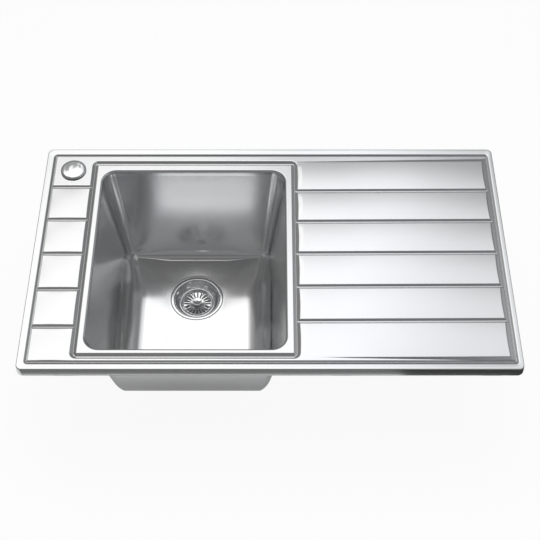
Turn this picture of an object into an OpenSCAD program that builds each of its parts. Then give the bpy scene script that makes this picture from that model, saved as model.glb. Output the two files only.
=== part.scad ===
// Inset kitchen sink with one bowl, a tiled strip on its left and a ribbed, sloping drainboard on its right.
// The origin lies in the middle of the worktop cut-out, on the worktop's surface. +Y is the back.

/* [Rim and deck] */
// Width of the sink, left to right
sink_w = 860; // [840:1:900]
// Depth of the sink, front to back
sink_d = 500; // [492:1:530]
// Height of the rim's top above the worktop
rim_h = 20; // [18:0.5:25]
// Thickness of the steel sheet
sheet_t = 1; // [0.8:0.1:1.2]
// Radius of the rim's corners, seen from above
corner_r = 11; // [8:0.5:16]
// Radius that rounds the rim's upper edge
edge_r = 3; // [2:0.25:4]
// Width of the flange turned in at the foot of the skirt
return_w = 10; // [8:0.5:12]
// Thickness of the foam strip under the rim
seal_t = 1.5; // [1:0.25:2.5]
// Width of the foam strip under the rim
seal_w = 8; // [5:0.5:9]

/* [Pressed lines] */
// Width of the line pressed round the rim
rim_line_w = 7.6; // [6:0.2:9]
// Depth of the line pressed round the rim
rim_line_h = 2.6; // [1.5:0.1:3]
// From the left edge to the middle of the rim line
rim_line_left = 16; // [13:0.5:18]
// From the right edge to the middle of the rim line
rim_line_right = 11.8; // [10:0.5:13]
// From the front edge to the middle of the rim line
rim_line_front = 14.8; // [13:0.5:17]
// From the back edge to the middle of the rim line
rim_line_back = 16.8; // [14:0.5:18]
// Width of the line pressed round the bowl
bowl_line_w = 11; // [8:0.5:12]
// Depth of the line pressed round the bowl
bowl_line_h = 2.8; // [1.5:0.1:3]
// From the mouth's left wall to the middle of the bowl line
bowl_line_left = 17.4; // [14:0.2:19]
// From the mouth's right wall to the middle of the bowl line
bowl_line_right = 19; // [14:0.2:20]
// From the mouth's front wall to the middle of the bowl line
bowl_line_front = 15; // [13:0.2:16]
// From the mouth's back wall to the middle of the bowl line
bowl_line_back = 21; // [15:0.2:22]

/* [Tiled strip] */
// Number of tiles in the strip
tiles = 6; // [4:1:6]
// How much less than the sink's depth the row of tiles is deep
tile_margin = 26; // [22:1:50]
// Width of the lines between tiles
tile_line_w = 8; // [6:0.5:9]
// Depth of the lines between tiles
tile_line_h = 1.8; // [1:0.1:2.4]
// How far a tile bulges in its middle
tile_crown = 0.8; // [0.4:0.1:1]

/* [Drainboard] */
// Number of panels in the drainboard
panels = 6; // [4:1:6]
// How much less than the sink's depth the row of panels is deep
panel_margin = 59; // [56:1:90]
// Width of the lines between panels
rib_w = 8.5; // [6:0.5:10]
// Depth of the lines between panels
rib_h = 2.2; // [1:0.1:2.6]
// Width of the flat bottom of those lines
rib_floor_w = 1.8; // [1:0.1:2.5]
// How far a panel bulges in its middle
panel_crown = 0.6; // [0.3:0.1:0.9]
// How far the drainboard rises from the bowl to its right end
drain_rise = 2.4; // [1.8:0.1:3.5]
// From the rim line's middle to the top edge of the drainboard's right end
drain_end_gap = 12; // [11:0.5:16]
// Width of the slope that bounds the raised drainboard
bevel_w = 7; // [5:0.25:7]

/* [Bowl] */
// Width of the bowl's mouth, wall to wall
bowl_w = 345; // [320:1:352]
// From the sink's left edge to the mouth's left wall
bowl_left = 112.5; // [108:0.5:120]
// From the sink's front edge to the mouth's front wall
bowl_front = 43; // [40:0.5:46]
// From the sink's back edge to the mouth's back wall
bowl_back = 58; // [55:0.5:70]
// Depth of the bowl below the rim's top
bowl_h = 212; // [190:1:218]
// How far the front wall leans in on its way down
front_lean = 38; // [30:1:42]
// How far the back wall leans in on its way down
back_lean = 45; // [36:1:48]
// How far the side walls lean in on their way down
side_lean = 33; // [26:1:38]
// Radius of the mouth's corners
mouth_r = 25; // [22:1:34]
// Radius of the floor's corners
floor_r = 12; // [10:1:20]
// Radius between the middle of the front or back wall and the floor
foot_r = 20; // [16:1:26]
// That radius beside the corners
foot_corner_r = 8; // [6:0.5:12]
// Radius between the middle of a side wall and the floor
side_foot_r = 48; // [38:1:52]
// That radius beside the corners
side_corner_r = 22; // [16:1:26]
// Radius that rolls the deck down into the bowl
roll_r = 4.5; // [3.5:0.25:5]
// Height of the collar that the bowl is welded to
collar_h = 7; // [6:0.25:8]
// Fall of the floor towards the waste
floor_fall = 3; // [1.5:0.5:4]

/* [Basket strainer] */
// From the bowl's middle back to the waste's middle
waste_back = 52; // [40:1:60]
// Diameter of the hole in the bowl's floor
waste_hole = 88; // [86:0.5:90]
// Diameter of the strainer's lip
lip_dia = 104; // [101:0.5:108]
// Depth of the strainer's cup below its lip
cup_h = 36; // [33:0.5:44]
// Diameter inside the cup's straight wall
cup_dia = 66; // [64:0.5:70]
// Thickness of the strainer's steel
cup_t = 0.8; // [0.6:0.1:1]
// Depth of the basket's rim below the lip
basket_drop = 12.5; // [10:0.5:14]
// Depth of the basket, rim to floor
basket_h = 6.5; // [5:0.5:8]
// Number of slots in the basket's floor
slots = 20; // [12:1:22]
// Width of a slot
slot_w = 2.6; // [1.8:0.1:3]
// Diameter of the basket's knob
knob_dia = 19; // [14:0.5:21]
// Height of the basket's knob
knob_h = 9; // [6:0.5:11]
// Diameter of the basket's stem
stem_dia = 6; // [5:0.25:7]
// Diameter of the rubber stopper
stopper_dia = 58; // [54:0.5:60]
// Height of the rubber stopper
stopper_h = 8; // [7:0.25:9]

/* [Waste] */
// Outside diameter of the outlet's thread
outlet_dia = 47.8; // [44:0.1:50]
// Length of the outlet's thread
outlet_l = 24; // [18:1:45]
// Wall of the plastic waste
waste_wall = 3.2; // [2.5:0.1:4]
// Depth of the plastic pot under its flange
pot_h = 46; // [43:1:60]
// Diameter of the screw that clamps cup and waste
waste_screw_dia = 6; // [5:0.25:7]
// Thickness of the gasket under the bowl
gasket_t = 2; // [1.5:0.25:3]

/* [Tap hole cap] */
// Diameter of the tap hole
tap_hole = 35; // [32:0.5:38]
// Diameter of the cap
cap_dia = 48; // [46:0.5:54]
// Height of the cap's rim
cap_rim_h = 2.2; // [1.5:0.1:3]
// Height of the cap's dome above its rim
cap_dome_h = 2.4; // [1.5:0.1:3.5]
// From the left edge to the middle of the tap hole
tap_left = 54.6; // [52:0.2:58]
// From the back edge to the middle of the tap hole
tap_back = 56; // [50:0.5:60]
// Diameter of the cap's stud
stud_dia = 8; // [6:0.5:10]
// Length of the stud below the deck
stud_l = 42; // [34:1:60]

/* [Fixing clips] */
// From the rim's edge to a clip screw
clip_inset = 28.5; // [26:0.5:30]
// Diameter of a clip screw
clip_screw_dia = 5; // [4:0.25:6]
// Thickness of worktop that the arms are set to
worktop_t = 28; // [20:1:34]
// Length of an arm from its screw to its tip
arm_l = 33; // [31:0.5:40]
// Width of an arm
arm_w = 14; // [12:0.5:16]
// Thickness of an arm
arm_t = 2.5; // [2:0.25:3]
// Height of an arm's toothed tip above the arm
tooth_h = 4; // [3:0.5:9]
// Width of a bracket
bracket_w = 20; // [18:0.5:26]
// Thickness of a bracket
bracket_t = 1.5; // [1:0.25:2]
// Height of a bracket's turned-up sides
bracket_h = 6; // [4:0.5:8]

/* [Drainboard underside] */
// From the drainboard's ends to those of a stiffening channel
channel_margin = 32; // [20:1:60]
// Height of a stiffening channel
channel_h = 14; // [10:0.5:18]
// Width of a channel's web
channel_w = 22; // [18:1:26]
// Width of a channel's flange
channel_flange = 9; // [7:0.5:10]
// Thickness of the sound-deadening sheet
pad_t = 2; // [1.5:0.25:3]
// From the drainboard's ends to those of the sheet under it
pad_margin = 57; // [40:1:90]
// Width of the sheet under the drainboard
pad_w = 46; // [36:1:50]

/* [Hidden] */
CLIPS = [1, 2, 3, 4, 5, 6, 7, 8];

$fn = 72;
// One overrun serves every cut, and one gap lies between pieces that turn or slide past each other.
over = 1;
run_gap = 0.05;
rest_gap = 0.2;
glue_gap = 0.1;
// Facets of the very large circles that give tiles and panels their bulge
crown_fn = 1440;

left_x = -sink_w / 2;
front_y = -sink_d / 2;
bowl_d = sink_d - bowl_front - bowl_back;
tile_pitch = (sink_d - tile_margin) / tiles;
panel_pitch = (sink_d - panel_margin) / panels;
bowl_x = left_x + bowl_left + bowl_w / 2;
bowl_y = front_y + bowl_front + bowl_d / 2;
under_z = rim_h - sheet_t;

// The two rings of pressed line, as low and high x and y of their middles
rim_box = [[left_x + rim_line_left, front_y + rim_line_front],
           [-left_x - rim_line_right, -front_y - rim_line_back]];
bowl_box = [[bowl_x - bowl_w / 2 - bowl_line_left, bowl_y - bowl_d / 2 - bowl_line_front],
            [bowl_x + bowl_w / 2 + bowl_line_right, bowl_y + bowl_d / 2 + bowl_line_back]];
// Tiles and panels are centred on the ring round the bowl.
field_y = (bowl_box[0][1] + bowl_box[1][1]) / 2;
line_ring_gap = 0.5;

// The drainboard starts at the outer shoulder of the ring round the bowl and rises to the right.
drain_x = bowl_box[1][0] + bowl_line_w / 2;
drain_end = rim_box[1][0] - drain_end_gap;
drain_l = drain_end - drain_x;
drain_tilt = atan(drain_rise / drain_l);
drain_half = panels * panel_pitch / 2;
drain_deep = 2;

// Bowl section: a leaning wall, a round foot and a floor that falls to the waste
front_slope = front_lean / (bowl_h - collar_h);
back_slope = back_lean / (bowl_h - collar_h);
side_slope = side_lean / (bowl_h - collar_h);
lean = atan(front_slope);
floor_depth = bowl_h - floor_fall;
foot_steps = 9;
corner_steps = 10;
// Places of a ring's points along a straight run, and how far a corner's tight foot reaches into it
run_shares = [0.07, 0.15, 0.24, 0.76, 0.85, 0.93];
corner_reach_share = 0.28;

// Waste: a shallow seat is pressed round the hole, and the strainer's lip lies in it on its seal.
waste_x = bowl_x;
waste_y = bowl_y + waste_back;
seat_h = 2.4;
seat_slope_w = 2;
seat_margin = 2;
seat_r = lip_dia / 2 + seat_margin;
seat_z = rim_h - bowl_h - seat_h;
strainer_seal_t = 1;
lip_z = seat_z + strainer_seal_t;
lip_r = lip_dia / 2;
neck_r = waste_hole / 2 - seat_margin / 2;
cup_r = cup_dia / 2;
ledge_w = 2.4;
cup_floor_z = lip_z - cup_h;
cup_hole_r = 5.5;
cup_hole_pitch_r = 20;
cup_holes = 8;
screw_head_r = 5.2;
screw_head_h = 2.6;

// Basket, measured down from the strainer's lip
basket_top_z = lip_z - basket_drop;
basket_floor_z = basket_top_z - basket_h;
basket_wall_r = cup_r - 2 * cup_t - rest_gap;
basket_rim_r = cup_r + ledge_w - rest_gap;
hub_r = knob_dia / 2 - cup_t;
slot_in_r = knob_dia / 2 + slot_w;
slot_out_r = basket_wall_r - 2 * slot_w;
stem_r = stem_dia / 2;
stopper_z = cup_floor_z + rest_gap;
stopper_top_z = stopper_z + stopper_h;
hub_t = 2;
knob_z = basket_floor_z + hub_t + rest_gap;

// Plastic waste
gasket_z = seat_z - sheet_t;
waste_top_z = gasket_z - gasket_t;
waste_flange_t = 4;
waste_flange_r = lip_r;
pot_r = waste_hole / 2 - seat_margin;
pot_floor_z = waste_top_z - pot_h;
outlet_r = outlet_dia / 2;
tube_top_z = pot_floor_z - (pot_r - outlet_r) / 2;
outlet_end_z = tube_top_z - waste_wall - outlet_l;
boss_r = waste_screw_dia / 2 + waste_wall;
boss_top_z = cup_floor_z - cup_t;
rib_count = 4;

// Tap hole cap
tap_x = left_x + tap_left;
tap_y = -front_y - tap_back;
cap_gasket_t = 1;
cap_wall = 1.2;
cap_z = rim_h + cap_gasket_t;
washer_t = 3;
washer_lip_w = 5;
nut_h = 8;
nut_r = 8;
wing_l = 11;
wing_t = 2.6;

// Clips: side 0 is the front, 1 the right, 2 the back and 3 the left.
// Each place is a share of half that side.
clip_sides = [0, 0, 0, 1, 2, 2, 2, 3];
clip_place_shares = [-0.865, 0.256, 0.856, 0, 0.674, -0.14, -0.86, 0];
bracket_z = seal_t + sheet_t;
boss_h = 5;
arm_top_z = -worktop_t - tooth_h - rest_gap;
arm_z = arm_top_z - arm_t;
clip_head_r = 4.5;
clip_head_h = 3;
clip_screw_r = clip_screw_dia / 2;
tooth_count = 5;

// The seal lies half a millimetre inside the skirt.
seal_inset = 1;
// How far a bulge has fallen at some distance from its middle
function crown_fall(half, pitch, crown) = crown * pow(2 * half / pitch, 2);

// Two dimensional shapes

module rounded_rect(w, d, r) {
  square([w - 2 * r, d], center = true);
  square([w, d - 2 * r], center = true);
  for (sx = [-1, 1], sy = [-1, 1])
    translate([sx * (w / 2 - r), sy * (d / 2 - r)])
      circle(r);
}

// A pressed line in section, wide at the top, with its shoulders at height 0
module line_section(w, h, floor_w) {
  polygon([[-w / 2, 0], [-floor_w / 2, -h], [floor_w / 2, -h], [w / 2, 0],
           [w / 2, tile_crown + drain_rise + over], [-w / 2, tile_crown + drain_rise + over]]);
}

// Bulging tops side by side, count of them at one pitch, standing on a base
module crowned_row(count, pitch, crown, base) {
  crown_r = (pow(pitch / 2, 2) + pow(crown, 2)) / (2 * crown);
  for (i = [0 : count - 1])
    translate([(i - (count - 1) / 2) * pitch, 0])
      intersection() {
        translate([0, crown - crown_r])
          circle(crown_r, $fn = crown_fn);
        translate([-pitch / 2, -base])
          square([pitch, base + 2 * crown]);
      }
}

// Sweeps: a rectangle with round corners, built from straight runs and revolved corners

// Solid block: children() is the section from a corner's axis outwards, and a core fills the middle.
module swept_block(w, d, r, z0, z1) {
  run_x = w - 2 * r;
  run_y = d - 2 * r;
  translate([-run_x / 2, 0, 0])
    rotate([90, 0, 90])
      linear_extrude(run_x) {
        for (side = [0, 1])
          mirror([side, 0])
            translate([run_y / 2, 0])
              children();
        translate([-run_y / 2, z0])
          square([run_y, z1 - z0]);
      }
  for (side = [0, 1])
    mirror([side, 0, 0])
      translate([run_x / 2, run_y / 2, 0])
        rotate([90, 0, 0])
          linear_extrude(run_y)
            children();
  swept_corners(run_x, run_y)
    children();
}

module swept_corners(run_x, run_y) {
  for (q = [0 : 3])
    translate([(q == 0 || q == 3 ? 1 : -1) * run_x / 2, (q < 2 ? 1 : -1) * run_y / 2, 0])
      rotate([0, 0, 90 * q])
        rotate_extrude(angle = 90)
          children();
}

// Ring: children() is the section, drawn about x = 0, carried round a rectangle of the section's middle line
module swept_ring(box, r) {
  w = box[1][0] - box[0][0];
  d = box[1][1] - box[0][1];
  run_x = w - 2 * r;
  run_y = d - 2 * r;
  translate([(box[0][0] + box[1][0]) / 2, (box[0][1] + box[1][1]) / 2, 0]) {
    for (side = [0, 1]) {
      mirror([0, side, 0])
        translate([-run_x / 2, d / 2, 0])
          rotate([90, 0, 90])
            linear_extrude(run_x)
              children();
      mirror([side, 0, 0])
        translate([w / 2, run_y / 2, 0])
          rotate([90, 0, 0])
            linear_extrude(run_y)
              children();
    }
    swept_corners(run_x, run_y)
      translate([r, 0])
        children();
  }
}

// Deck

// Section of the rim from a corner's axis outwards, with its upper edge rounded
module rim_section(r, edge, z0, z1) {
  translate([0, z0])
    square([r, z1 - edge - z0]);
  translate([0, z0])
    square([r - edge, z1 - z0]);
  translate([r - edge, z1 - edge])
    circle(edge);
}

// Section of the bowl's mouth from a corner's axis outwards: a straight wall that flares at the top
module mouth_section(r, roll, z0, z1) {
  translate([0, z0])
    square([r, z1 + over - z0]);
  difference() {
    translate([0, z1 - roll])
      square([r + roll, roll + over]);
    translate([r + roll, z1 - roll])
      circle(roll);
  }
}

// One face of the deck's sheet as a solid block. The sheet is what lies between two of them,
// the second lower by the sheet's thickness and smaller by as much all round.
module deck_form(lower) {
  top = rim_h - lower;
  bottom = lower > 0 ? seal_t - over : seal_t;
  r = corner_r - lower;
  difference() {
    union() {
      swept_block(sink_w - 2 * lower, sink_d - 2 * lower, r, bottom, top)
        rim_section(r, edge_r - lower, bottom, top);
      translate([0, 0, -lower])
        tile_bulges();
      translate([0, 0, -lower])
        drain_field();
    }
    translate([0, 0, top])
      pressed_lines();
    translate([bowl_x, bowl_y, 0])
      swept_block(bowl_w + 2 * lower, bowl_d + 2 * lower, mouth_r + lower, bottom - over, top + over)
        mouth_section(mouth_r + lower, roll_r - lower, bottom - over, top);
  }
}

// The line round the rim, the line round the bowl, the lines between tiles and those between panels
module pressed_lines() {
  swept_ring(rim_box, rim_line_w / 2 + line_ring_gap)
    line_section(rim_line_w, rim_line_h, line_ring_gap);
  swept_ring(bowl_box, bowl_line_w / 2 + line_ring_gap)
    line_section(bowl_line_w, bowl_line_h, line_ring_gap);
  for (i = [1 : tiles - 1])
    translate([rim_box[0][0], field_y + (i - tiles / 2) * tile_pitch, 0])
      rotate([90, 0, 90])
        linear_extrude(bowl_box[0][0] - rim_box[0][0])
          line_section(tile_line_w, tile_line_h, line_ring_gap);
  translate([drain_x, field_y, 0])
    rotate([0, -drain_tilt, 0])
      for (i = [1 : panels - 1])
        translate([bowl_box[1][0] - drain_x, (i - panels / 2) * panel_pitch, 0])
          rotate([90, 0, 90])
            linear_extrude(rim_box[1][0] - bowl_box[1][0])
              line_section(rib_w, rib_h, rib_floor_w);
}

// Every tile but the one that carries the tap hole bulges both ways.
module tile_bulges() {
  strip_w = bowl_box[0][0] - rim_box[0][0];
  translate([rim_box[0][0], rim_box[0][1], rim_h])
    intersection() {
      translate([0, field_y - rim_box[0][1] - tile_pitch / 2, 0])
        rotate([90, 0, 90])
          linear_extrude(strip_w)
            crowned_row(tiles - 1, tile_pitch, tile_crown, drain_deep);
      translate([strip_w / 2, field_y - rim_box[0][1] + (tiles / 2 - 1) * tile_pitch, 0])
        rotate([90, 0, 0])
          linear_extrude(field_y - rim_box[0][1] + (tiles / 2 - 1) * tile_pitch)
            crowned_row(1, strip_w, tile_crown, drain_deep);
    }
}

// The raised part of the drainboard: bulging panels that tilt up to the right, with a slope at the front,
// the back and the right end
module drain_field() {
  foot_w = drain_deep * bevel_w / drain_rise;
  end_h = drain_rise + panel_crown;
  end_foot_w = (drain_deep + end_h) * bevel_w / end_h;
  intersection() {
    translate([drain_x, field_y, rim_h])
      rotate([0, -drain_tilt, 0])
        rotate([90, 0, 90])
          linear_extrude(drain_l + 2 * bevel_w) {
            polygon([[-drain_half - foot_w, -drain_deep], [-drain_half, 0],
                     [drain_half, 0], [drain_half + foot_w, -drain_deep]]);
            crowned_row(panels, panel_pitch, panel_crown, drain_deep);
          }
    translate([drain_x, field_y, rim_h])
      rotate([90, 0, 0])
        linear_extrude(2 * drain_half + 4 * bevel_w, center = true)
          polygon([[0, -drain_deep], [drain_l + end_foot_w, -drain_deep], [drain_l, end_h],
                   [drain_l, end_h + over], [0, end_h + over]]);
  }
}

// Everything under the collar round the mouth, which the bowl takes over
module collar_trim() {
  margin = sheet_t + roll_r;
  translate([bowl_x - bowl_w / 2 - margin, bowl_y - bowl_d / 2 - margin, seal_t - over])
    cube([bowl_w + 2 * margin, bowl_d + 2 * margin, rim_h - collar_h - seal_t + over]);
}

module return_flange() {
  w = sink_w - 2 * sheet_t;
  d = sink_d - 2 * sheet_t;
  r = corner_r - sheet_t;
  lap = return_w - sheet_t;
  translate([0, 0, seal_t])
    linear_extrude(sheet_t)
      difference() {
        rounded_rect(w, d, r);
        rounded_rect(w - 2 * lap, d - 2 * lap, r / 2);
      }
}

module sink_deck() {
  color("gainsboro") {
    difference() {
      deck_form(0);
      deck_form(sheet_t);
      collar_trim();
      translate([tap_x, tap_y, 0])
        cylinder(d = tap_hole, h = rim_h + over);
    }
    return_flange();
  }
}

module worktop_seal() {
  w = sink_w - 2 * seal_inset;
  d = sink_d - 2 * seal_inset;
  r = corner_r - seal_inset;
  color("dimgray")
    linear_extrude(seal_t)
      difference() {
        rounded_rect(w, d, r);
        rounded_rect(w - 2 * seal_w, d - 2 * seal_w, r / 2);
      }
}

// Bowl

// 1 at a corner, and less the further a point lies along a run
function corner_pull(share) =
  let (near = min(share, 1 - share) / corner_reach_share)
  near > 1 ? 0 : 1 - near * near * (3 - 2 * near);
// Radius of the foot under every point of a ring: for each corner a turn and the run after it,
// beginning at the right back
function between(a, b, share) = a + (b - a) * share;
end_turn = [for (i = [0 : corner_steps]) between(side_corner_r, foot_corner_r, i / corner_steps)];
side_turn = [for (i = [0 : corner_steps]) between(foot_corner_r, side_corner_r, i / corner_steps)];
end_run = [for (share = run_shares) between(foot_r, foot_corner_r, corner_pull(share))];
side_run = [for (share = run_shares) between(side_foot_r, side_corner_r, corner_pull(share))];
foot_radii = concat(end_turn, end_run, side_turn, side_run, end_turn, end_run, side_turn, side_run);
ring_count = len(foot_radii);

// One level of the bowl: a rectangle with round corners, or a circle with as many points
function corner_point(q, a, half_w, half_d, mid_y, r, z) =
  [bowl_x + (q == 0 || q == 3 ? 1 : -1) * (half_w - r) + r * cos(a),
   mid_y + (q < 2 ? 1 : -1) * (half_d - r) + r * sin(a), z];
function box_ring(half_w, half_d, mid_y, r, z) = [
  for (q = [0 : 3])
    let (turn = [for (i = [0 : corner_steps])
           corner_point(q, 90 * q + 90 * i / corner_steps, half_w, half_d, mid_y, r, z)],
         end = turn[corner_steps],
         next = corner_point((q + 1) % 4, 90 * (q + 1), half_w, half_d, mid_y, r, z))
    each concat(turn, [for (share = run_shares) between(end, next, share)])];
function round_ring(r, z) = [
  for (k = [0 : ring_count - 1])
    let (a = 45 + 360 * (k - corner_steps / 2) / ring_count)
    [waste_x + r * cos(a), waste_y + r * sin(a), z]];

// How far the floor's edge lies in from the mouth, under a wall with some slope over a foot of radius r
function edge_inset(r, slope) = (floor_depth - r - collar_h) * slope + r * sqrt(1 + slope * slope);
corner_inset = edge_inset(foot_corner_r, front_slope);
// Level of the bowl at a depth, with its sides, front and back inset from the mouth,
// moved out and down by the shares of a thickness
function bowl_ring(side, front, back, depth, out_w, out_h) = box_ring(
  bowl_w / 2 - side + out_w, (bowl_d - front - back) / 2 + out_w, bowl_y + (front - back) / 2,
  mouth_r + (floor_r - mouth_r) * front / corner_inset + out_w, rim_h - depth - out_h);
function foot_level(step, t, r) =
  let (a = lean + (90 - lean) * step / foot_steps, in = r * cos(a))
  bowl_ring(edge_inset(r, side_slope) - in, edge_inset(r, front_slope) - in, edge_inset(r, back_slope) - in,
            floor_depth - r + r * sin(a), t * cos(a), t * sin(a));
// A level of the foot is even in its radius, so that each point is found from those of two feet.
function foot_ring(step, t) =
  let (sharp = foot_level(step, t, 0), full = foot_level(step, t, foot_r))
  [for (i = [0 : ring_count - 1]) between(sharp[i], full[i], foot_radii[i] / foot_r)];
function bowl_side(t) = concat(
  [bowl_ring(0, 0, 0, collar_h, t, 0)],
  [for (step = [0 : foot_steps]) foot_ring(step, t)],
  [round_ring(seat_r + t / 2, rim_h - bowl_h - t),
   round_ring(seat_r - seat_slope_w + t / 2, seat_z - t),
   round_ring(waste_hole / 2, seat_z - t)]);

function backwards(rows) = [for (i = [len(rows) - 1 : -1 : 0]) rows[i]];

// Closed skin over rings that run down one side and back up the other. Each quad between two rings is
// split in two triangles, and flip chooses the other diagonal.
module skin(rings, flip = false) {
  count = len(rings[0]);
  rows = len(rings);
  points = [for (ring = rings) for (p = ring) p];
  faces = [for (j = [0 : rows - 1], i = [0 : count - 1])
    let (j2 = (j + 1) % rows, i2 = (i + 1) % count,
         a = j * count + i, b = j * count + i2, c = j2 * count + i2, d = j2 * count + i)
    for (face = flip ? [[a, b, d], [b, c, d]] : [[a, b, c], [a, c, d]])
      face];
  polyhedron(points, faces);
}

module sink_bowl() {
  color("silver")
    skin(concat(bowl_side(0), backwards(bowl_side(sheet_t))));
}

// A ring part of the way from the floor's edge to the seat round the waste, on the underside
function floor_mix(share, drop) =
  let (edge = foot_ring(foot_steps, sheet_t),
       inner = round_ring(seat_r + sheet_t / 2, rim_h - bowl_h - sheet_t))
  [for (i = [0 : len(edge) - 1]) edge[i] * (1 - share) + inner[i] * share - [0, 0, drop]];
pad_edge_share = 0.08;
pad_inner_share = 0.9;

// The sheet's facets are split along the same diagonals as those of the floor over it.
module bowl_sound_pad() {
  color("darkslategray")
    skin([floor_mix(pad_edge_share, glue_gap), floor_mix(pad_inner_share, glue_gap),
          floor_mix(pad_inner_share, glue_gap + pad_t), floor_mix(pad_edge_share, glue_gap + pad_t)],
         flip = true);
}

// Underside of the drainboard

// A place under a panel, in the panel's own tilt; half is half the width that must clear the bulge.
module under_panel(index, half) {
  translate([drain_x, field_y, under_z])
    rotate([0, -drain_tilt, 0])
      translate([drain_l / 2, (index - (panels - 1) / 2) * panel_pitch,
                 panel_crown - crown_fall(half, panel_pitch, panel_crown) - glue_gap])
        children();
}

module stiffener(index) {
  half = channel_w / 2 + channel_flange;
  t = sheet_t;
  color("lightgray")
    under_panel(index, half)
      rotate([90, 0, 90])
        linear_extrude(drain_l - 2 * channel_margin, center = true)
          polygon([[-half, 0], [-channel_w / 2, 0], [-channel_w / 2, t - channel_h],
                   [channel_w / 2, t - channel_h], [channel_w / 2, 0], [half, 0], [half, -t],
                   [channel_w / 2 + t, -t], [channel_w / 2 + t, -channel_h],
                   [-channel_w / 2 - t, -channel_h], [-channel_w / 2 - t, -t], [-half, -t]]);
}

module drainer_stiffener_front() {
  stiffener(1);
}

module drainer_stiffener_rear() {
  stiffener(panels - 2);
}

module drainer_sound_pad() {
  pad_l = drain_l - 2 * pad_margin;
  color("darkslategray")
    under_panel(floor(panels / 2), pad_w / 2)
      translate([-pad_l / 2, -pad_w / 2, -pad_t])
        cube([pad_l, pad_w, pad_t]);
}

// Fixing clips

// Puts children() at a clip's screw, with the rim's edge towards -Y and the arm's rest direction along +X.
module at_clip(i) {
  side = clip_sides[i];
  half = side % 2 == 0 ? [sink_w / 2, sink_d / 2] : [sink_d / 2, sink_w / 2];
  rotate([0, 0, 90 * side])
    translate([clip_place_shares[i] * half[0], clip_inset - half[1], 0])
      children();
}

module clip_bracket() {
  reach = clip_inset - sheet_t - seal_inset;
  tail = clip_screw_dia + over;
  difference() {
    union() {
      translate([-bracket_w / 2, -reach, bracket_z])
        cube([bracket_w, reach + tail, bracket_t]);
      for (x = [-bracket_w / 2, bracket_w / 2 - bracket_t])
        translate([x, -reach, bracket_z])
          cube([bracket_t, reach + tail, bracket_h]);
      translate([0, 0, bracket_z])
        cylinder(r = clip_screw_dia, h = boss_h);
    }
    translate([0, 0, bracket_z - over])
      cylinder(r = clip_screw_r + run_gap, h = boss_h + 2 * over);
  }
}

module clip_brackets() {
  color("darkgray")
    for (i = [0 : len(clip_sides) - 1])
      at_clip(i)
        clip_bracket();
}

module clip_screws() {
  head_top_z = arm_z - rest_gap;
  shank_top_z = bracket_z + boss_h + over;
  color("goldenrod")
    for (i = [0 : len(clip_sides) - 1])
      at_clip(i)
        difference() {
          union() {
            translate([0, 0, head_top_z - clip_head_h])
              cylinder(r = clip_head_r, h = clip_head_h);
            translate([0, 0, head_top_z])
              cylinder(r = clip_screw_r, h = shank_top_z - head_top_z);
          }
          for (a = [0, 90])
            rotate([0, 0, a])
              translate([-clip_screw_r, -clip_screw_dia / 10, head_top_z - clip_head_h - over])
                cube([clip_screw_dia, clip_screw_dia / 5, clip_head_h / 2 + over]);
        }
}

// Flat arm with a round end at its screw, a stiffening rib and a toothed tip that bites the worktop
module clip_arm(n) {
  tooth_w = arm_w / tooth_count;
  color("darkgray")
    at_clip(n - 1)
      difference() {
        union() {
          translate([0, 0, arm_z])
            linear_extrude(arm_t) {
              circle(arm_w / 2);
              translate([0, -arm_w / 2])
                square([arm_l, arm_w]);
            }
          translate([arm_w / 2, -arm_t / 2, arm_z])
            cube([arm_l - arm_w / 2, arm_t, 2 * arm_t]);
          translate([arm_l, 0, arm_z])
            rotate([90, 0, -90])
              linear_extrude(arm_t) {
                translate([-arm_w / 2, 0])
                  square([arm_w, arm_t + tooth_h / 2]);
                for (k = [0 : tooth_count - 1])
                  translate([-arm_w / 2 + k * tooth_w, arm_t + tooth_h / 2])
                    polygon([[0, 0], [tooth_w, 0], [tooth_w / 2, tooth_h / 2]]);
              }
        }
        translate([0, 0, arm_z - over])
          cylinder(r = clip_screw_r + run_gap, h = arm_t + 2 * over);
      }
}

// Tap hole cap and what clamps it

module tap_hole_cap() {
  dome_r = (pow(cap_dia / 2, 2) + pow(cap_dome_h, 2)) / (2 * cap_dome_h);
  color("lightsteelblue")
    translate([tap_x, tap_y, cap_z])
      rotate_extrude() {
        difference() {
          intersection() {
            square([cap_dia / 2, cap_rim_h + cap_dome_h]);
            translate([0, cap_rim_h + cap_dome_h - dome_r])
              circle(dome_r, $fn = crown_fn);
          }
          translate([0, -over])
            square([cap_dia / 2 - cap_wall, cap_rim_h - cap_wall + over]);
          square([stud_dia / 2, cap_rim_h]);
        }
        translate([stud_dia / 2, 0])
          square([cap_wall, cap_rim_h]);
      }
}

module tap_hole_gasket() {
  color("dimgray")
    translate([tap_x, tap_y, rim_h])
      difference() {
        cylinder(d = cap_dia - 2 * cap_wall, h = cap_gasket_t);
        translate([0, 0, -over])
          cylinder(d = tap_hole, h = cap_gasket_t + 2 * over);
      }
}

module cap_stud() {
  color("darkgray")
    translate([tap_x, tap_y, under_z - stud_l])
      cylinder(d = stud_dia, h = stud_l + sheet_t + cap_gasket_t + cap_rim_h);
}

// Round washer under the deck, with a raised ring that centres it in the tap hole
module cap_clamp_washer() {
  color("whitesmoke")
    translate([tap_x, tap_y, under_z - washer_t])
      difference() {
        union() {
          cylinder(d = tap_hole + 2 * washer_lip_w, h = washer_t);
          cylinder(d = tap_hole - 2 * rest_gap, h = washer_t + sheet_t);
        }
        translate([0, 0, -over])
          cylinder(d = stud_dia + 2 * run_gap, h = washer_t + sheet_t + 2 * over);
      }
}

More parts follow.
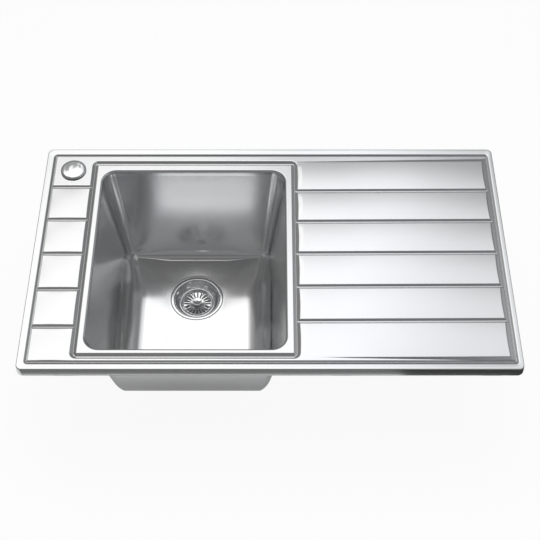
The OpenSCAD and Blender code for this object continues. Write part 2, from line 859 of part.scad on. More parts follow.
module cap_wing_nut() {
  color("darkgray")
    translate([tap_x, tap_y, under_z - washer_t - nut_h])
      difference() {
        union() {
          cylinder(r = nut_r, h = nut_h);
          for (a = [0, 180])
            rotate([90, 0, a])
              linear_extrude(wing_t, center = true) {
                translate([nut_r / 2, -nut_h / 2])
                  square([wing_l, nut_h]);
                translate([nut_r / 2 + wing_l, 0])
                  circle(nut_h / 2);
              }
        }
        translate([0, 0, -nut_h])
          cylinder(d = stud_dia + 2 * run_gap, h = 3 * nut_h);
      }
}

// Strainer

// Cup with a beaded lip, a cone, a ledge that carries the basket, a straight wall and a floor with holes
module strainer_cup() {
  t = cup_t;
  ledge_z = basket_top_z - rest_gap - t;
  ledge_r = cup_r + ledge_w;
  bead_h = 1.8 * t;
  color("gainsboro")
    translate([waste_x, waste_y, 0])
      difference() {
        rotate_extrude()
          polygon([[0, cup_floor_z], [cup_r, cup_floor_z], [cup_r, ledge_z + t], [ledge_r, ledge_z + t],
                   [neck_r - t, lip_z], [neck_r, lip_z + t], [lip_r - 3 * t, lip_z + t],
                   [lip_r - 2 * t, lip_z + bead_h], [lip_r - t, lip_z + bead_h], [lip_r, lip_z + t],
                   [lip_r, lip_z + t / 2], [lip_r - t / 2, lip_z], [neck_r, lip_z],
                   [ledge_r + t, ledge_z], [cup_r + t, ledge_z], [cup_r + t, cup_floor_z - t],
                   [0, cup_floor_z - t]]);
        translate([0, 0, cup_floor_z - t - over])
          cylinder(r = waste_screw_dia / 2 + run_gap, h = t + 2 * over);
        for (a = [0 : cup_holes - 1])
          rotate([0, 0, 360 * a / cup_holes])
            translate([cup_hole_pitch_r, 0, cup_floor_z - t - over])
              cylinder(r = cup_hole_r, h = t + 2 * over);
      }
}

module strainer_seal() {
  color("black")
    translate([waste_x, waste_y, seat_z])
      difference() {
        cylinder(r = lip_r - cup_t, h = strainer_seal_t);
        translate([0, 0, -over])
          cylinder(d = waste_hole, h = strainer_seal_t + 2 * over);
      }
}

module waste_gasket() {
  color("black")
    translate([waste_x, waste_y, waste_top_z])
      difference() {
        cylinder(r = waste_flange_r, h = gasket_t);
        translate([0, 0, -over])
          cylinder(d = waste_hole, h = gasket_t + 2 * over);
      }
}

// Plastic pot with a flange, a boss on four ribs for the screw, and the outlet's threaded tube
module waste_body() {
  pot_out_r = pot_r + waste_wall;
  color("whitesmoke")
    translate([waste_x, waste_y, 0]) {
      rotate_extrude()
        polygon([[pot_r, waste_top_z], [waste_flange_r, waste_top_z],
                 [waste_flange_r, waste_top_z - waste_flange_t], [pot_out_r, waste_top_z - waste_flange_t],
                 [pot_out_r, pot_floor_z - waste_wall / 2], [outlet_r, tube_top_z - waste_wall],
                 [outlet_r, outlet_end_z], [outlet_r - waste_wall, outlet_end_z],
                 [outlet_r - waste_wall, tube_top_z - waste_wall / 2],
                 [pot_r, pot_floor_z + waste_wall / 2]]);
      difference() {
        union() {
          translate([0, 0, pot_floor_z + waste_wall])
            cylinder(r = boss_r, h = boss_top_z - pot_floor_z - waste_wall);
          for (a = [0 : rib_count - 1])
            rotate([0, 0, 360 * a / rib_count])
              translate([0, -waste_wall / 2, pot_floor_z + waste_wall])
                cube([pot_r + waste_wall / 2, waste_wall, (boss_top_z - pot_floor_z) / 2]);
        }
        translate([0, 0, pot_floor_z])
          cylinder(r = waste_screw_dia / 2 + run_gap, h = boss_top_z - pot_floor_z + over);
      }
    }
}

module waste_screw() {
  shank_l = cup_t + boss_top_z - pot_floor_z - waste_wall;
  color("silver")
    translate([waste_x, waste_y, cup_floor_z])
      difference() {
        union() {
          cylinder(r = screw_head_r, h = screw_head_h);
          translate([0, 0, -shank_l])
            cylinder(d = waste_screw_dia, h = shank_l);
        }
        translate([-screw_head_r, -cup_t / 2, screw_head_h / 2])
          cube([2 * screw_head_r, cup_t, screw_head_h]);
      }
}

// Basket

// Pressed dish whose floor is cut by a sunburst of slots round its hub
module basket() {
  color("lightgray")
    translate([waste_x, waste_y, 0])
      difference() {
        union() {
          rotate_extrude()
            polygon([[0, basket_floor_z], [basket_wall_r - cup_t, basket_floor_z],
                     [basket_wall_r, basket_floor_z + cup_t], [basket_wall_r, basket_top_z],
                     [basket_rim_r, basket_top_z],
                     [basket_rim_r, basket_top_z + cup_t], [basket_wall_r - cup_t, basket_top_z + cup_t],
                     [basket_wall_r - cup_t, basket_floor_z + 2 * cup_t],
                     [basket_wall_r - 2 * cup_t, basket_floor_z + cup_t], [0, basket_floor_z + cup_t]]);
          translate([0, 0, basket_floor_z])
            cylinder(r = hub_r, h = hub_t);
        }
        translate([0, 0, basket_floor_z - over])
          cylinder(r = stem_r + run_gap, h = hub_t + 2 * over);
        for (a = [0 : slots - 1])
          rotate([0, 0, 360 * a / slots])
            translate([0, 0, basket_floor_z - over])
              linear_extrude(cup_t + 2 * over) {
                translate([slot_in_r, -slot_w / 2])
                  square([slot_out_r - slot_in_r, slot_w]);
                for (x = [slot_in_r, slot_out_r])
                  translate([x, 0])
                    circle(slot_w / 2, $fn = 24);
              }
      }
}

module basket_stem() {
  color("silver")
    translate([waste_x, waste_y, stopper_z + screw_head_h + 2 * rest_gap])
      cylinder(r = stem_r, h = knob_z + knob_h / 2 - stopper_z - screw_head_h - 2 * rest_gap);
}

// Domed knob with a waisted foot, pressed on the stem
module basket_knob() {
  knob_r = knob_dia / 2;
  color("gainsboro")
    translate([waste_x, waste_y, knob_z])
      rotate_extrude()
        difference() {
          union() {
            square([knob_r - cup_t, knob_h / 3]);
            intersection() {
              translate([0, knob_h / 3])
                square([knob_r, knob_h]);
              translate([0, knob_h / 3])
                scale([1, 2 * knob_h / 3 / knob_r])
                  circle(knob_r);
            }
          }
          square([stem_r + run_gap, knob_h / 2]);
        }
}

// Rubber bell on the stem that closes the cup's floor round its holes
module basket_stopper() {
  r = stopper_dia / 2;
  bell_r = screw_head_r + stem_dia / 2;
  hollow_h = screw_head_h + rest_gap;
  color("black")
    translate([waste_x, waste_y, stopper_z])
      difference() {
        rotate_extrude()
          polygon([[0, 0], [r - stem_r / 2, 0], [r, stem_r / 2], [r, stem_r],
                   [bell_r, stopper_h - stem_r / 2], [bell_r, stopper_h], [0, stopper_h]]);
        translate([0, 0, -over])
          cylinder(r = bell_r, h = hollow_h + over);
        cylinder(r = stem_r + run_gap, h = stopper_h + over);
      }
}

// Spring washer on the stem over the stopper, which stops the stem under the basket's hub
module stem_clip() {
  color("darkgray")
    translate([waste_x, waste_y, stopper_top_z])
      difference() {
        cylinder(r = 2 * stem_r, h = cup_t);
        translate([0, 0, -over])
          cylinder(r = stem_r + run_gap, h = cup_t + 2 * over);
      }
}

sink_deck();
sink_bowl();
worktop_seal();
drainer_stiffener_front();
drainer_stiffener_rear();
bowl_sound_pad();
drainer_sound_pad();
clip_brackets();
clip_screws();
for (n = CLIPS)
  clip_arm(n);
tap_hole_cap();
tap_hole_gasket();
cap_stud();
cap_clamp_washer();
cap_wing_nut();
strainer_cup();
strainer_seal();
waste_gasket();
waste_body();
waste_screw();
basket();
basket_stem();
basket_knob();
basket_stopper();
stem_clip();
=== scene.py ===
import math

import bmesh
import bpy
import numpy as np
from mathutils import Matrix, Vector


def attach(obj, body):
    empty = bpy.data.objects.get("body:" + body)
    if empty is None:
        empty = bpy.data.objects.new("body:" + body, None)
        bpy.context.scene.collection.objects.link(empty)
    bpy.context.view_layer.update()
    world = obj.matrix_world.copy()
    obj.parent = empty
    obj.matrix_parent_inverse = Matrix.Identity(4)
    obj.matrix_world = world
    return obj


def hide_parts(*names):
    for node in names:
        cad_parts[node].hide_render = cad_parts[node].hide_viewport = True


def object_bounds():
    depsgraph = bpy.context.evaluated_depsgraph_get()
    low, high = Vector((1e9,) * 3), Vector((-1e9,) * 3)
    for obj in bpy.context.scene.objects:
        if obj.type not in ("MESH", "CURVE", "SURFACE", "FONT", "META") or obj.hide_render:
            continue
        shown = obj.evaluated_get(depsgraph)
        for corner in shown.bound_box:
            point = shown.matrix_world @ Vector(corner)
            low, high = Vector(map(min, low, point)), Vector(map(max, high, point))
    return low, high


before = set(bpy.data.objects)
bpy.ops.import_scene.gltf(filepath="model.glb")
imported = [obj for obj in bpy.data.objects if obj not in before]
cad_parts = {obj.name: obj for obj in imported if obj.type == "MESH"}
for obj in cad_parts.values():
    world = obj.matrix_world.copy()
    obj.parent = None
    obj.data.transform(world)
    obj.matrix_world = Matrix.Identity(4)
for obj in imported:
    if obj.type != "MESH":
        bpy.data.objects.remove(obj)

cad_box = [list(v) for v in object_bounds()]
MM = 0.001

# Sizes in millimetres, in the frame of the CAD model: the worktop's surface is z = 0, +Y is the back.
SINK_W, SINK_D, RIM_H, SHEET = 860.0, 500.0, 20.0, 1.0
CORNER_R, EDGE_R, RETURN_W, SEAL_T = 11.0, 1.6, 10.0, 1.5
RIM = (-414.0, 418.2, -235.2, 233.2)
RIM_LINE_W, RIM_LINE_H = 7.6, 2.6
BOWL_X, BOWL_Y, BOWL_W, BOWL_D, BOWL_H = -145.0, -7.5, 345.0, 399.0, 212.0
MOAT = (-334.9, 46.5, -222.0, 213.0)
MOAT_W, MOAT_H = 11.0, 2.8
FIELD_Y = -4.5
TILES, TILE_PITCH, TILE_LINE_W, TILE_LINE_H, TILE_CROWN = 6, 79.0, 8.0, 1.8, 0.8
PANELS, PANEL_PITCH, RIB_W, RIB_H, RIB_FLOOR, PANEL_CROWN = 6, 73.5, 8.5, 2.2, 1.8, 0.6
DRAIN_X, DRAIN_END, DRAIN_RISE, BEVEL_W = 52.0, 406.2, 2.4, 7.0
COLLAR_H, FRONT_LEAN, BACK_LEAN, SIDE_LEAN, MOUTH_R, ROLL_R, FALL = 7.0, 38.0, 45.0, 33.0, 25.0, 4.5, 3.0
FLOOR_R, FOOT_R, FOOT_CORNER_R, SIDE_FOOT_R, SIDE_CORNER_R, CORNER_REACH = 12.0, 20.0, 8.0, 55.0, 30.0, 0.28
WASTE_X, WASTE_Y, WASTE_R, SEAT_R, SEAT_H = -145.0, 44.5, 44.0, 54.0, 2.4
LIP_Z, LIP_R, CUP_T = -193.4, 50.9, 0.8
TAP_X, TAP_Y = -375.4, 194.0
# The land outside the rim's line, and the two flanks of that line
LAND_LEAN, LAND_W = 0.05, 12.3
RIM_LINE_INNER_W, RIM_LINE_OUTER_W = 2.4, 5.2
# The bowl's front and back walls are slightly hollow, drawn by turning their normals. Each pair gives a height,
# over the floor in front and in the frame at the back, and a turn in degrees.
FRONT_TURN = ((6, 0.0), (20, 1.8), (34, 1.8), (45, 0.2), (60, -2.2), (80, -4.6), (100, -6.6), (140, -7.4),
              (200, -7.4))
BACK_TURN = ((-45, 0.0), (-36, 0.3), (-20, 1.3), (5, 2.4), (13, 2.6))
# The edge of the waste's seat: inset from its radius and drop below the floor
SEAT_ROUND = 1.2
SEAT_EDGE = ((-SEAT_ROUND, 0), (1.6, 0.08), (2, 0.1), (2.25, 0.2), (2.45, 0.45), (2.55, SEAT_H - 0.4),
             (2.7, SEAT_H))
# Points of a ring along its sides in X, along those in Y and round a corner
RIM_POINTS, BOWL_POINTS = (70, 44, 14), (36, 44, 18)


def smin(a, b, k):
    h = np.clip(0.5 + 0.5 * (b - a) / k, 0, 1)
    return b * (1 - h) + a * h - k * h * (1 - h)


def smax(a, b, k):
    return -smin(-a, -b, k)


def valley(dist, width, depth, flat, level):
    """Surface of a pressed line: straight flanks from its bottom up, beyond the level of the plate."""
    half = width / 2
    rise = depth * (np.abs(dist) - flat / 2) / (half - flat / 2)
    return level - depth + smax(rise, np.zeros_like(rise), 0.15)


def ring_distance(x, y, box, r):
    x0, x1, y0, y1 = box
    qx = np.abs(x - (x0 + x1) / 2) - ((x1 - x0) / 2 - r)
    qy = np.abs(y - (y0 + y1) / 2) - ((y1 - y0) / 2 - r)
    out = np.hypot(np.maximum(qx, 0), np.maximum(qy, 0))
    return out + np.minimum(np.maximum(qx, qy), 0) - r


def drain_plane(x):
    return RIM_H + DRAIN_RISE * (x - DRAIN_X) / (DRAIN_END - DRAIN_X)


def deck_height(x, y):
    """Height of the deck's upper side over any point of it."""
    far = 60.0
    z = np.full_like(x, RIM_H)
    # Tiles: each bulges both ways, and the last one, which carries the tap hole, is flat.
    mid_x, half_x = (RIM[0] + MOAT[0]) / 2, (MOAT[0] - RIM[0]) / 2
    row = np.floor((y - FIELD_Y) / TILE_PITCH + TILES / 2)
    v = (y - FIELD_Y) / TILE_PITCH + TILES / 2 - row - 0.5
    u = (x - mid_x) / (2 * half_x)
    pillow = TILE_CROWN * (1 - (2 * u) ** 2) * (1 - (2 * v) ** 2)
    in_strip = (np.abs(u) < 0.5) & (row >= 0) & (row < TILES - 1)
    z = z + np.where(in_strip, np.maximum(pillow, 0), 0)
    # Drainboard
    plane = drain_plane(x)
    w = (y - FIELD_Y) / PANEL_PITCH + PANELS / 2
    inside = (w > 0) & (w < PANELS)
    w = w - np.floor(w) - 0.5
    crown = np.where(inside, PANEL_CROWN * (1 - (2 * w) ** 2), 0)
    half = PANELS * PANEL_PITCH / 2
    slope = DRAIN_RISE / BEVEL_W
    side = plane - slope * (np.abs(y - FIELD_Y) - half)
    end = RIM_H + DRAIN_RISE + PANEL_CROWN - (DRAIN_RISE + PANEL_CROWN) / BEVEL_W * (x - DRAIN_END)
    field = smin(smin(plane + crown, side, 0.5), end, 0.7)
    field = np.where(x > MOAT[1], field, RIM_H - far)
    z = smax(z, field, 0.3)
    # The land outside the rim's line leans inwards a little.
    edge = ring_distance(x, y, RIM, 4.3)
    z = z - np.where(edge > 0, LAND_LEAN * np.clip(LAND_W - edge, 0, LAND_W), 0)
    # Pressed lines; the rim's is steeper on its inner side
    across = edge + RIM_LINE_W / 2 - RIM_LINE_INNER_W
    across = np.where(across > 0, across / RIM_LINE_OUTER_W, -across / RIM_LINE_INNER_W) * RIM_LINE_W / 2
    z = smin(z, valley(across, RIM_LINE_W, RIM_LINE_H, 0.2, RIM_H), 0.5)
    z = smin(z, valley(ring_distance(x, y, MOAT, 6.0), MOAT_W, MOAT_H, 0.2, RIM_H), 0.5)
    for i in range(1, TILES):
        line = valley(y - FIELD_Y - (i - TILES / 2) * TILE_PITCH, TILE_LINE_W, TILE_LINE_H, 0.6, RIM_H)
        z = smin(z, np.where((x > RIM[0]) & (x < MOAT[0]), line, RIM_H + far), 0.6)
    for i in range(1, PANELS):
        line = valley(y - FIELD_Y - (i - PANELS / 2) * PANEL_PITCH, RIB_W, RIB_H, RIB_FLOOR, plane)
        z = smin(z, np.where((x > MOAT[1]) & (x < RIM[1]), line, RIM_H + far), 0.5)
    return z


def deck_normals(x, y):
    e = 0.04
    dx = (deck_height(x + e, y) - deck_height(x - e, y)) / (2 * e)
    dy = (deck_height(x, y + e) - deck_height(x, y - e)) / (2 * e)
    n = np.stack([-dx, -dy, np.ones_like(dx)], 1)
    return n / np.linalg.norm(n, axis=1, keepdims=True)


def grid_lines(low, high, must, features, step):
    """Coordinates of the lines of a grid: close together at each feature and step apart elsewhere."""
    kept = sorted(set([low, high] + list(must)))
    for mid, half in features:
        for t in (0, 0.35, 0.8, half * 0.5, half - 0.9, half - 0.35, half + 0.1, half + 0.6, half + 1.5):
            for c in (mid - t, mid + t):
                if low < c < high and min(abs(c - k) for k in kept) > 0.24:
                    kept.append(c)
    kept.sort()
    out = [kept[0]]
    for a, b in zip(kept, kept[1:]):
        n = max(1, math.ceil((b - a) / step))
        out += [a + (b - a) * (i + 1) / n for i in range(n)]
    return np.array(out)


class Skin:
    """Vertices, normals and faces of one side of a sheet, in millimetres."""

    def __init__(self):
        self.points, self.normals, self.offsets, self.faces, self.count = [], [], [], [], 0

    def add(self, points, normals, offsets):
        first = self.count
        self.points.append(np.asarray(points, float))
        self.normals.append(np.asarray(normals, float))
        self.offsets.append(np.asarray(offsets, float))
        self.count += len(points)
        return list(range(first, self.count))

    def band(self, outer, inner):
        """Faces between two rings that run counter-clockwise, seen from the side the normals point to."""
        n = len(outer)
        for i in range(n):
            j = (i + 1) % n
            self.faces.append((outer[i], outer[j], inner[j], inner[i]))

    def zip(self, outer, outer_at, inner, inner_at):
        """Faces between two flat rings with different numbers of points, matched by their places along them."""
        i = j = 0
        a, b = len(outer), len(inner)
        while i < a or j < b:
            at_i = outer_at[i + 1] if i + 1 < a else (outer_at[0] + 4 if i < a else 99)
            at_j = inner_at[j + 1] if j + 1 < b else (inner_at[0] + 4 if j < b else 99)
            if abs(at_i - at_j) < 1e-6:
                self.faces.append((outer[i % a], outer[(i + 1) % a], inner[(j + 1) % b], inner[j % b]))
                i, j = i + 1, j + 1
            elif at_i < at_j:
                self.faces.append((outer[i % a], outer[(i + 1) % a], inner[j % b]))
                i += 1
            else:
                self.faces.append((outer[i % a], inner[(j + 1) % b], inner[j % b]))
                j += 1


def ring(box, r, nx, ny, m):
    """Points, outward directions and places along a rectangle with round corners, counter-clockwise."""
    x0, x1, y0, y1 = box
    pts, out, at = [], [], []
    sides = [((x1, y0 + r), (x1, y1 - r), (1, 0), ny), ((x1 - r, y1), (x0 + r, y1), (0, 1), nx),
             ((x0, y1 - r), (x0, y0 + r), (-1, 0), ny), ((x0 + r, y0), (x1 - r, y0), (0, -1), nx)]
    centres = [(x1 - r, y1 - r), (x0 + r, y1 - r), (x0 + r, y0 + r), (x1 - r, y0 + r)]
    for k, (a, b, n, count) in enumerate(sides):
        for i in range(count + 1):
            t = i / count
            pts.append((a[0] + (b[0] - a[0]) * t, a[1] + (b[1] - a[1]) * t))
            out.append(n)
            at.append(k + 0.75 * t)
        for i in range(1, m):
            w = math.radians(90 * (k + i / m))
            pts.append((centres[k][0] + r * math.cos(w), centres[k][1] + r * math.sin(w)))
            out.append((math.cos(w), math.sin(w)))
            at.append(k + 0.75 + 0.25 * i / m)
    return np.array(pts), np.array(out), at


def grid_places(loop, box, r):
    """Places of a rectangle's own points, matched to a ring with round corners that lies beside it."""
    x0, x1, y0, y1 = box
    gx0, gx1 = min(p[0] for p in loop), max(p[0] for p in loop)
    gy0, gy1 = min(p[1] for p in loop), max(p[1] for p in loop)
    run = {0: (y0 + r, y1 - r), 1: (x1 - r, x0 + r), 2: (y1 - r, y0 + r), 3: (x0 + r, x1 - r)}
    end = {0: gy1, 1: gx0, 2: gy0, 3: gx1}
    begin = {0: gy0, 1: gx1, 2: gy1, 3: gx0}
    at = []
    for x, y in loop:
        if abs(x - gx1) < 1e-6 and y < gy1 - 1e-6:
            k, c = 0, y
        elif abs(y - gy1) < 1e-6 and x > gx0 + 1e-6:
            k, c = 1, x
        elif abs(x - gx0) < 1e-6 and y > gy0 + 1e-6:
            k, c = 2, y
        else:
            k, c = 3, x
        a, b = run[k]
        t = (c - a) / (b - a)
        before, after = abs(begin[k] - a), abs(end[k] - b)
        if t < 0:
            prev = abs(end[(k + 3) % 4] - run[(k + 3) % 4][1])
            at.append((k - 1 + 0.75 + 0.25 * (prev + abs(c - begin[k])) / (prev + before)) % 4)
        elif t > 1:
            following = abs(begin[(k + 1) % 4] - run[(k + 1) % 4][0])
            at.append(k + 0.75 + 0.25 * abs(c - b) / (after + following))
        else:
            at.append(k + 0.75 * t)
    return at


def in_order(ids, at):
    order = sorted(range(len(ids)), key=lambda i: at[i])
    return [ids[i] for i in order], [at[i] for i in order]


def sheet_object(name, skin, thickness, edges):
    """A mesh with both sides of a sheet, closed at the rings in edges, with the normals of the true surface."""
    p = np.concatenate(skin.points)
    n = np.concatenate(skin.normals)
    off = np.concatenate(skin.offsets)
    total = len(p)
    verts = np.concatenate([p, p - off * thickness]) * MM
    faces = list(skin.faces) + [tuple(total + i for i in reversed(f)) for f in skin.faces]
    both = len(faces)
    for loop, outward in edges:
        count = len(loop)
        for i in range(count):
            j = (i + 1) % count
            quad = (loop[j], loop[i], total + loop[i], total + loop[j])
            faces.append(quad if outward else tuple(reversed(quad)))
    mesh = bpy.data.meshes.new(name)
    mesh.from_pydata([tuple(v) for v in verts], [], faces)
    mesh.validate()
    mesh.polygons.foreach_set("use_smooth", [True] * len(mesh.polygons))
    all_n = np.concatenate([n, -n])
    loops = np.empty(len(mesh.loops), int)
    mesh.loops.foreach_get("vertex_index", loops)
    split = all_n[loops]
    for poly in list(mesh.polygons)[both:]:
        for li in poly.loop_indices:
            split[li] = poly.normal
    mesh.normals_split_custom_set([tuple(v) for v in split])
    obj = bpy.data.objects.new(name, mesh)
    bpy.context.collection.objects.link(obj)
    return obj


def face_normals(skin, ids):
    """Area-weighted normals of some vertices, from the skin's own faces."""
    p = np.concatenate(skin.points)
    total = np.zeros_like(p)
    for f in skin.faces:
        a, b, c = p[f[0]], p[f[1]], p[f[2]]
        n = np.cross(b - a, c - a)
        if len(f) == 4:
            d = p[f[3]]
            n = n + np.cross(c - a, d - a)
        for i in f:
            total[i] += n
    out = total[ids]
    return out / np.linalg.norm(out, axis=1, keepdims=True)


def add_deck(skin):
    """The flat and pressed part of the deck, as a grid. Returns its outer border and the one round the bowl."""
    inset, gap = 7.5, 7.0
    gx = (-SINK_W / 2 + inset, SINK_W / 2 - inset)
    gy = (-SINK_D / 2 + inset, SINK_D / 2 - inset)
    hole = (BOWL_X - BOWL_W / 2 - gap, BOWL_X + BOWL_W / 2 + gap,
            BOWL_Y - BOWL_D / 2 - gap, BOWL_Y + BOWL_D / 2 + gap)
    xf = [(RIM[0], RIM_LINE_W / 2), (RIM[1], RIM_LINE_W / 2), (MOAT[0], MOAT_W / 2), (MOAT[1], MOAT_W / 2),
          (DRAIN_END, 0.6), (DRAIN_END + BEVEL_W, 0.6)]
    half = PANELS * PANEL_PITCH / 2
    yf = [(RIM[2], RIM_LINE_W / 2), (RIM[3], RIM_LINE_W / 2), (MOAT[2], MOAT_W / 2), (MOAT[3], MOAT_W / 2)]
    yf += [(FIELD_Y + (i - TILES / 2) * TILE_PITCH, TILE_LINE_W / 2) for i in range(1, TILES)]
    yf += [(FIELD_Y + (i - PANELS / 2) * PANEL_PITCH, RIB_W / 2) for i in range(1, PANELS)]
    yf += [(FIELD_Y - half, 0.8), (FIELD_Y + half, 0.8), (FIELD_Y - half - BEVEL_W, 0.8),
           (FIELD_Y + half + BEVEL_W, 0.8)]
    xs = grid_lines(gx[0], gx[1], hole[:2], xf, 9.0)
    ys = grid_lines(gy[0], gy[1], hole[2:], yf, 7.0)
    X, Y = np.meshgrid(xs, ys, indexing="ij")
    inside = (X > hole[0] + 1e-6) & (X < hole[1] - 1e-6) & (Y > hole[2] + 1e-6) & (Y < hole[3] - 1e-6)
    index = np.full(X.shape, -1)
    keep = ~inside
    index[keep] = np.arange(keep.sum())
    px, py = X[keep], Y[keep]
    up = np.tile([0.0, 0.0, 1.0], (len(px), 1))
    skin.add(np.stack([px, py, deck_height(px, py)], 1), deck_normals(px, py), up)
    nx, ny = len(xs), len(ys)
    for i in range(nx - 1):
        for j in range(ny - 1):
            q = (index[i, j], index[i + 1, j], index[i + 1, j + 1], index[i, j + 1])
            mx, my = (xs[i] + xs[i + 1]) / 2, (ys[j] + ys[j + 1]) / 2
            if hole[0] < mx < hole[1] and hole[2] < my < hole[3]:
                continue
            skin.faces.append(tuple(int(v) for v in q))

    def border(box):
        i0, i1 = int(np.argmin(abs(xs - box[0]))), int(np.argmin(abs(xs - box[1])))
        j0, j1 = int(np.argmin(abs(ys - box[2]))), int(np.argmin(abs(ys - box[3])))
        cells = [(i1, j) for j in range(j0, j1)] + [(i, j1) for i in range(i1, i0, -1)]
        cells += [(i0, j) for j in range(j1, j0, -1)] + [(i, j0) for i in range(i0, i1)]
        return [int(index[c]) for c in cells], [(xs[c[0]], ys[c[1]]) for c in cells]

    return border(gx + gy), border(hole)


def add_rim(skin, ids, loop):
    """The rim from the deck's border on: rounded edge, skirt, and the flange turned in. Returns its last ring."""
    def rim_ring(out, z, normal):
        """A ring at an inset from the sink's outline, with its normal as outward and upward shares."""
        r = max(CORNER_R - out, 0.4)
        box = (-SINK_W / 2 + out, SINK_W / 2 - out, -SINK_D / 2 + out, SINK_D / 2 - out)
        pts, d, at = ring(box, r, *RIM_POINTS)
        n = np.concatenate([d * normal[0], np.full((len(d), 1), normal[1])], 1)
        return skin.add(np.concatenate([pts, np.full((len(pts), 1), z)], 1), n, n), at, box, r

    # A section of the rim as inset, height and the tilt of its normal from straight up
    fold, bulge = 1.0, 0.9
    section = []
    for i in range(8):
        w = math.radians(78 * i / 7)
        section.append((bulge + EDGE_R * (1 - math.sin(w)), RIM_H - EDGE_R * (1 - math.cos(w)), w))
    top_in, top_z = section[-1][:2]
    low_z = SEAL_T + fold
    for i in range(1, 9):
        t = i / 8
        z = top_z + (low_z - top_z) * t
        slope = 2 * top_in / (top_z - low_z) * (1 - t)
        section.append((top_in * (1 - t) ** 2, z, math.pi / 2 - math.atan(slope)))
    first, at, box, r = rim_ring(section[0][0], RIM_H, (0, 1))
    g_ids, g_at = in_order(ids, grid_places(loop, box, r))
    skin.zip(first, at, g_ids, g_at)
    rings = [(out, z, (math.sin(w), math.cos(w))) for out, z, w in section[1:]]
    for i in range(1, 5):
        w = math.radians(90 * i / 4)
        rings.append((fold * (1 - math.cos(w)), SEAL_T + fold * (1 - math.sin(w)), (math.cos(w), -math.sin(w))))
    rings += [(out, SEAL_T, (0, -1)) for out in (4, 7, RETURN_W)]
    prev = first
    for place in rings:
        cur = rim_ring(*place)[0]
        skin.band(cur, prev)
        prev = cur
    return prev


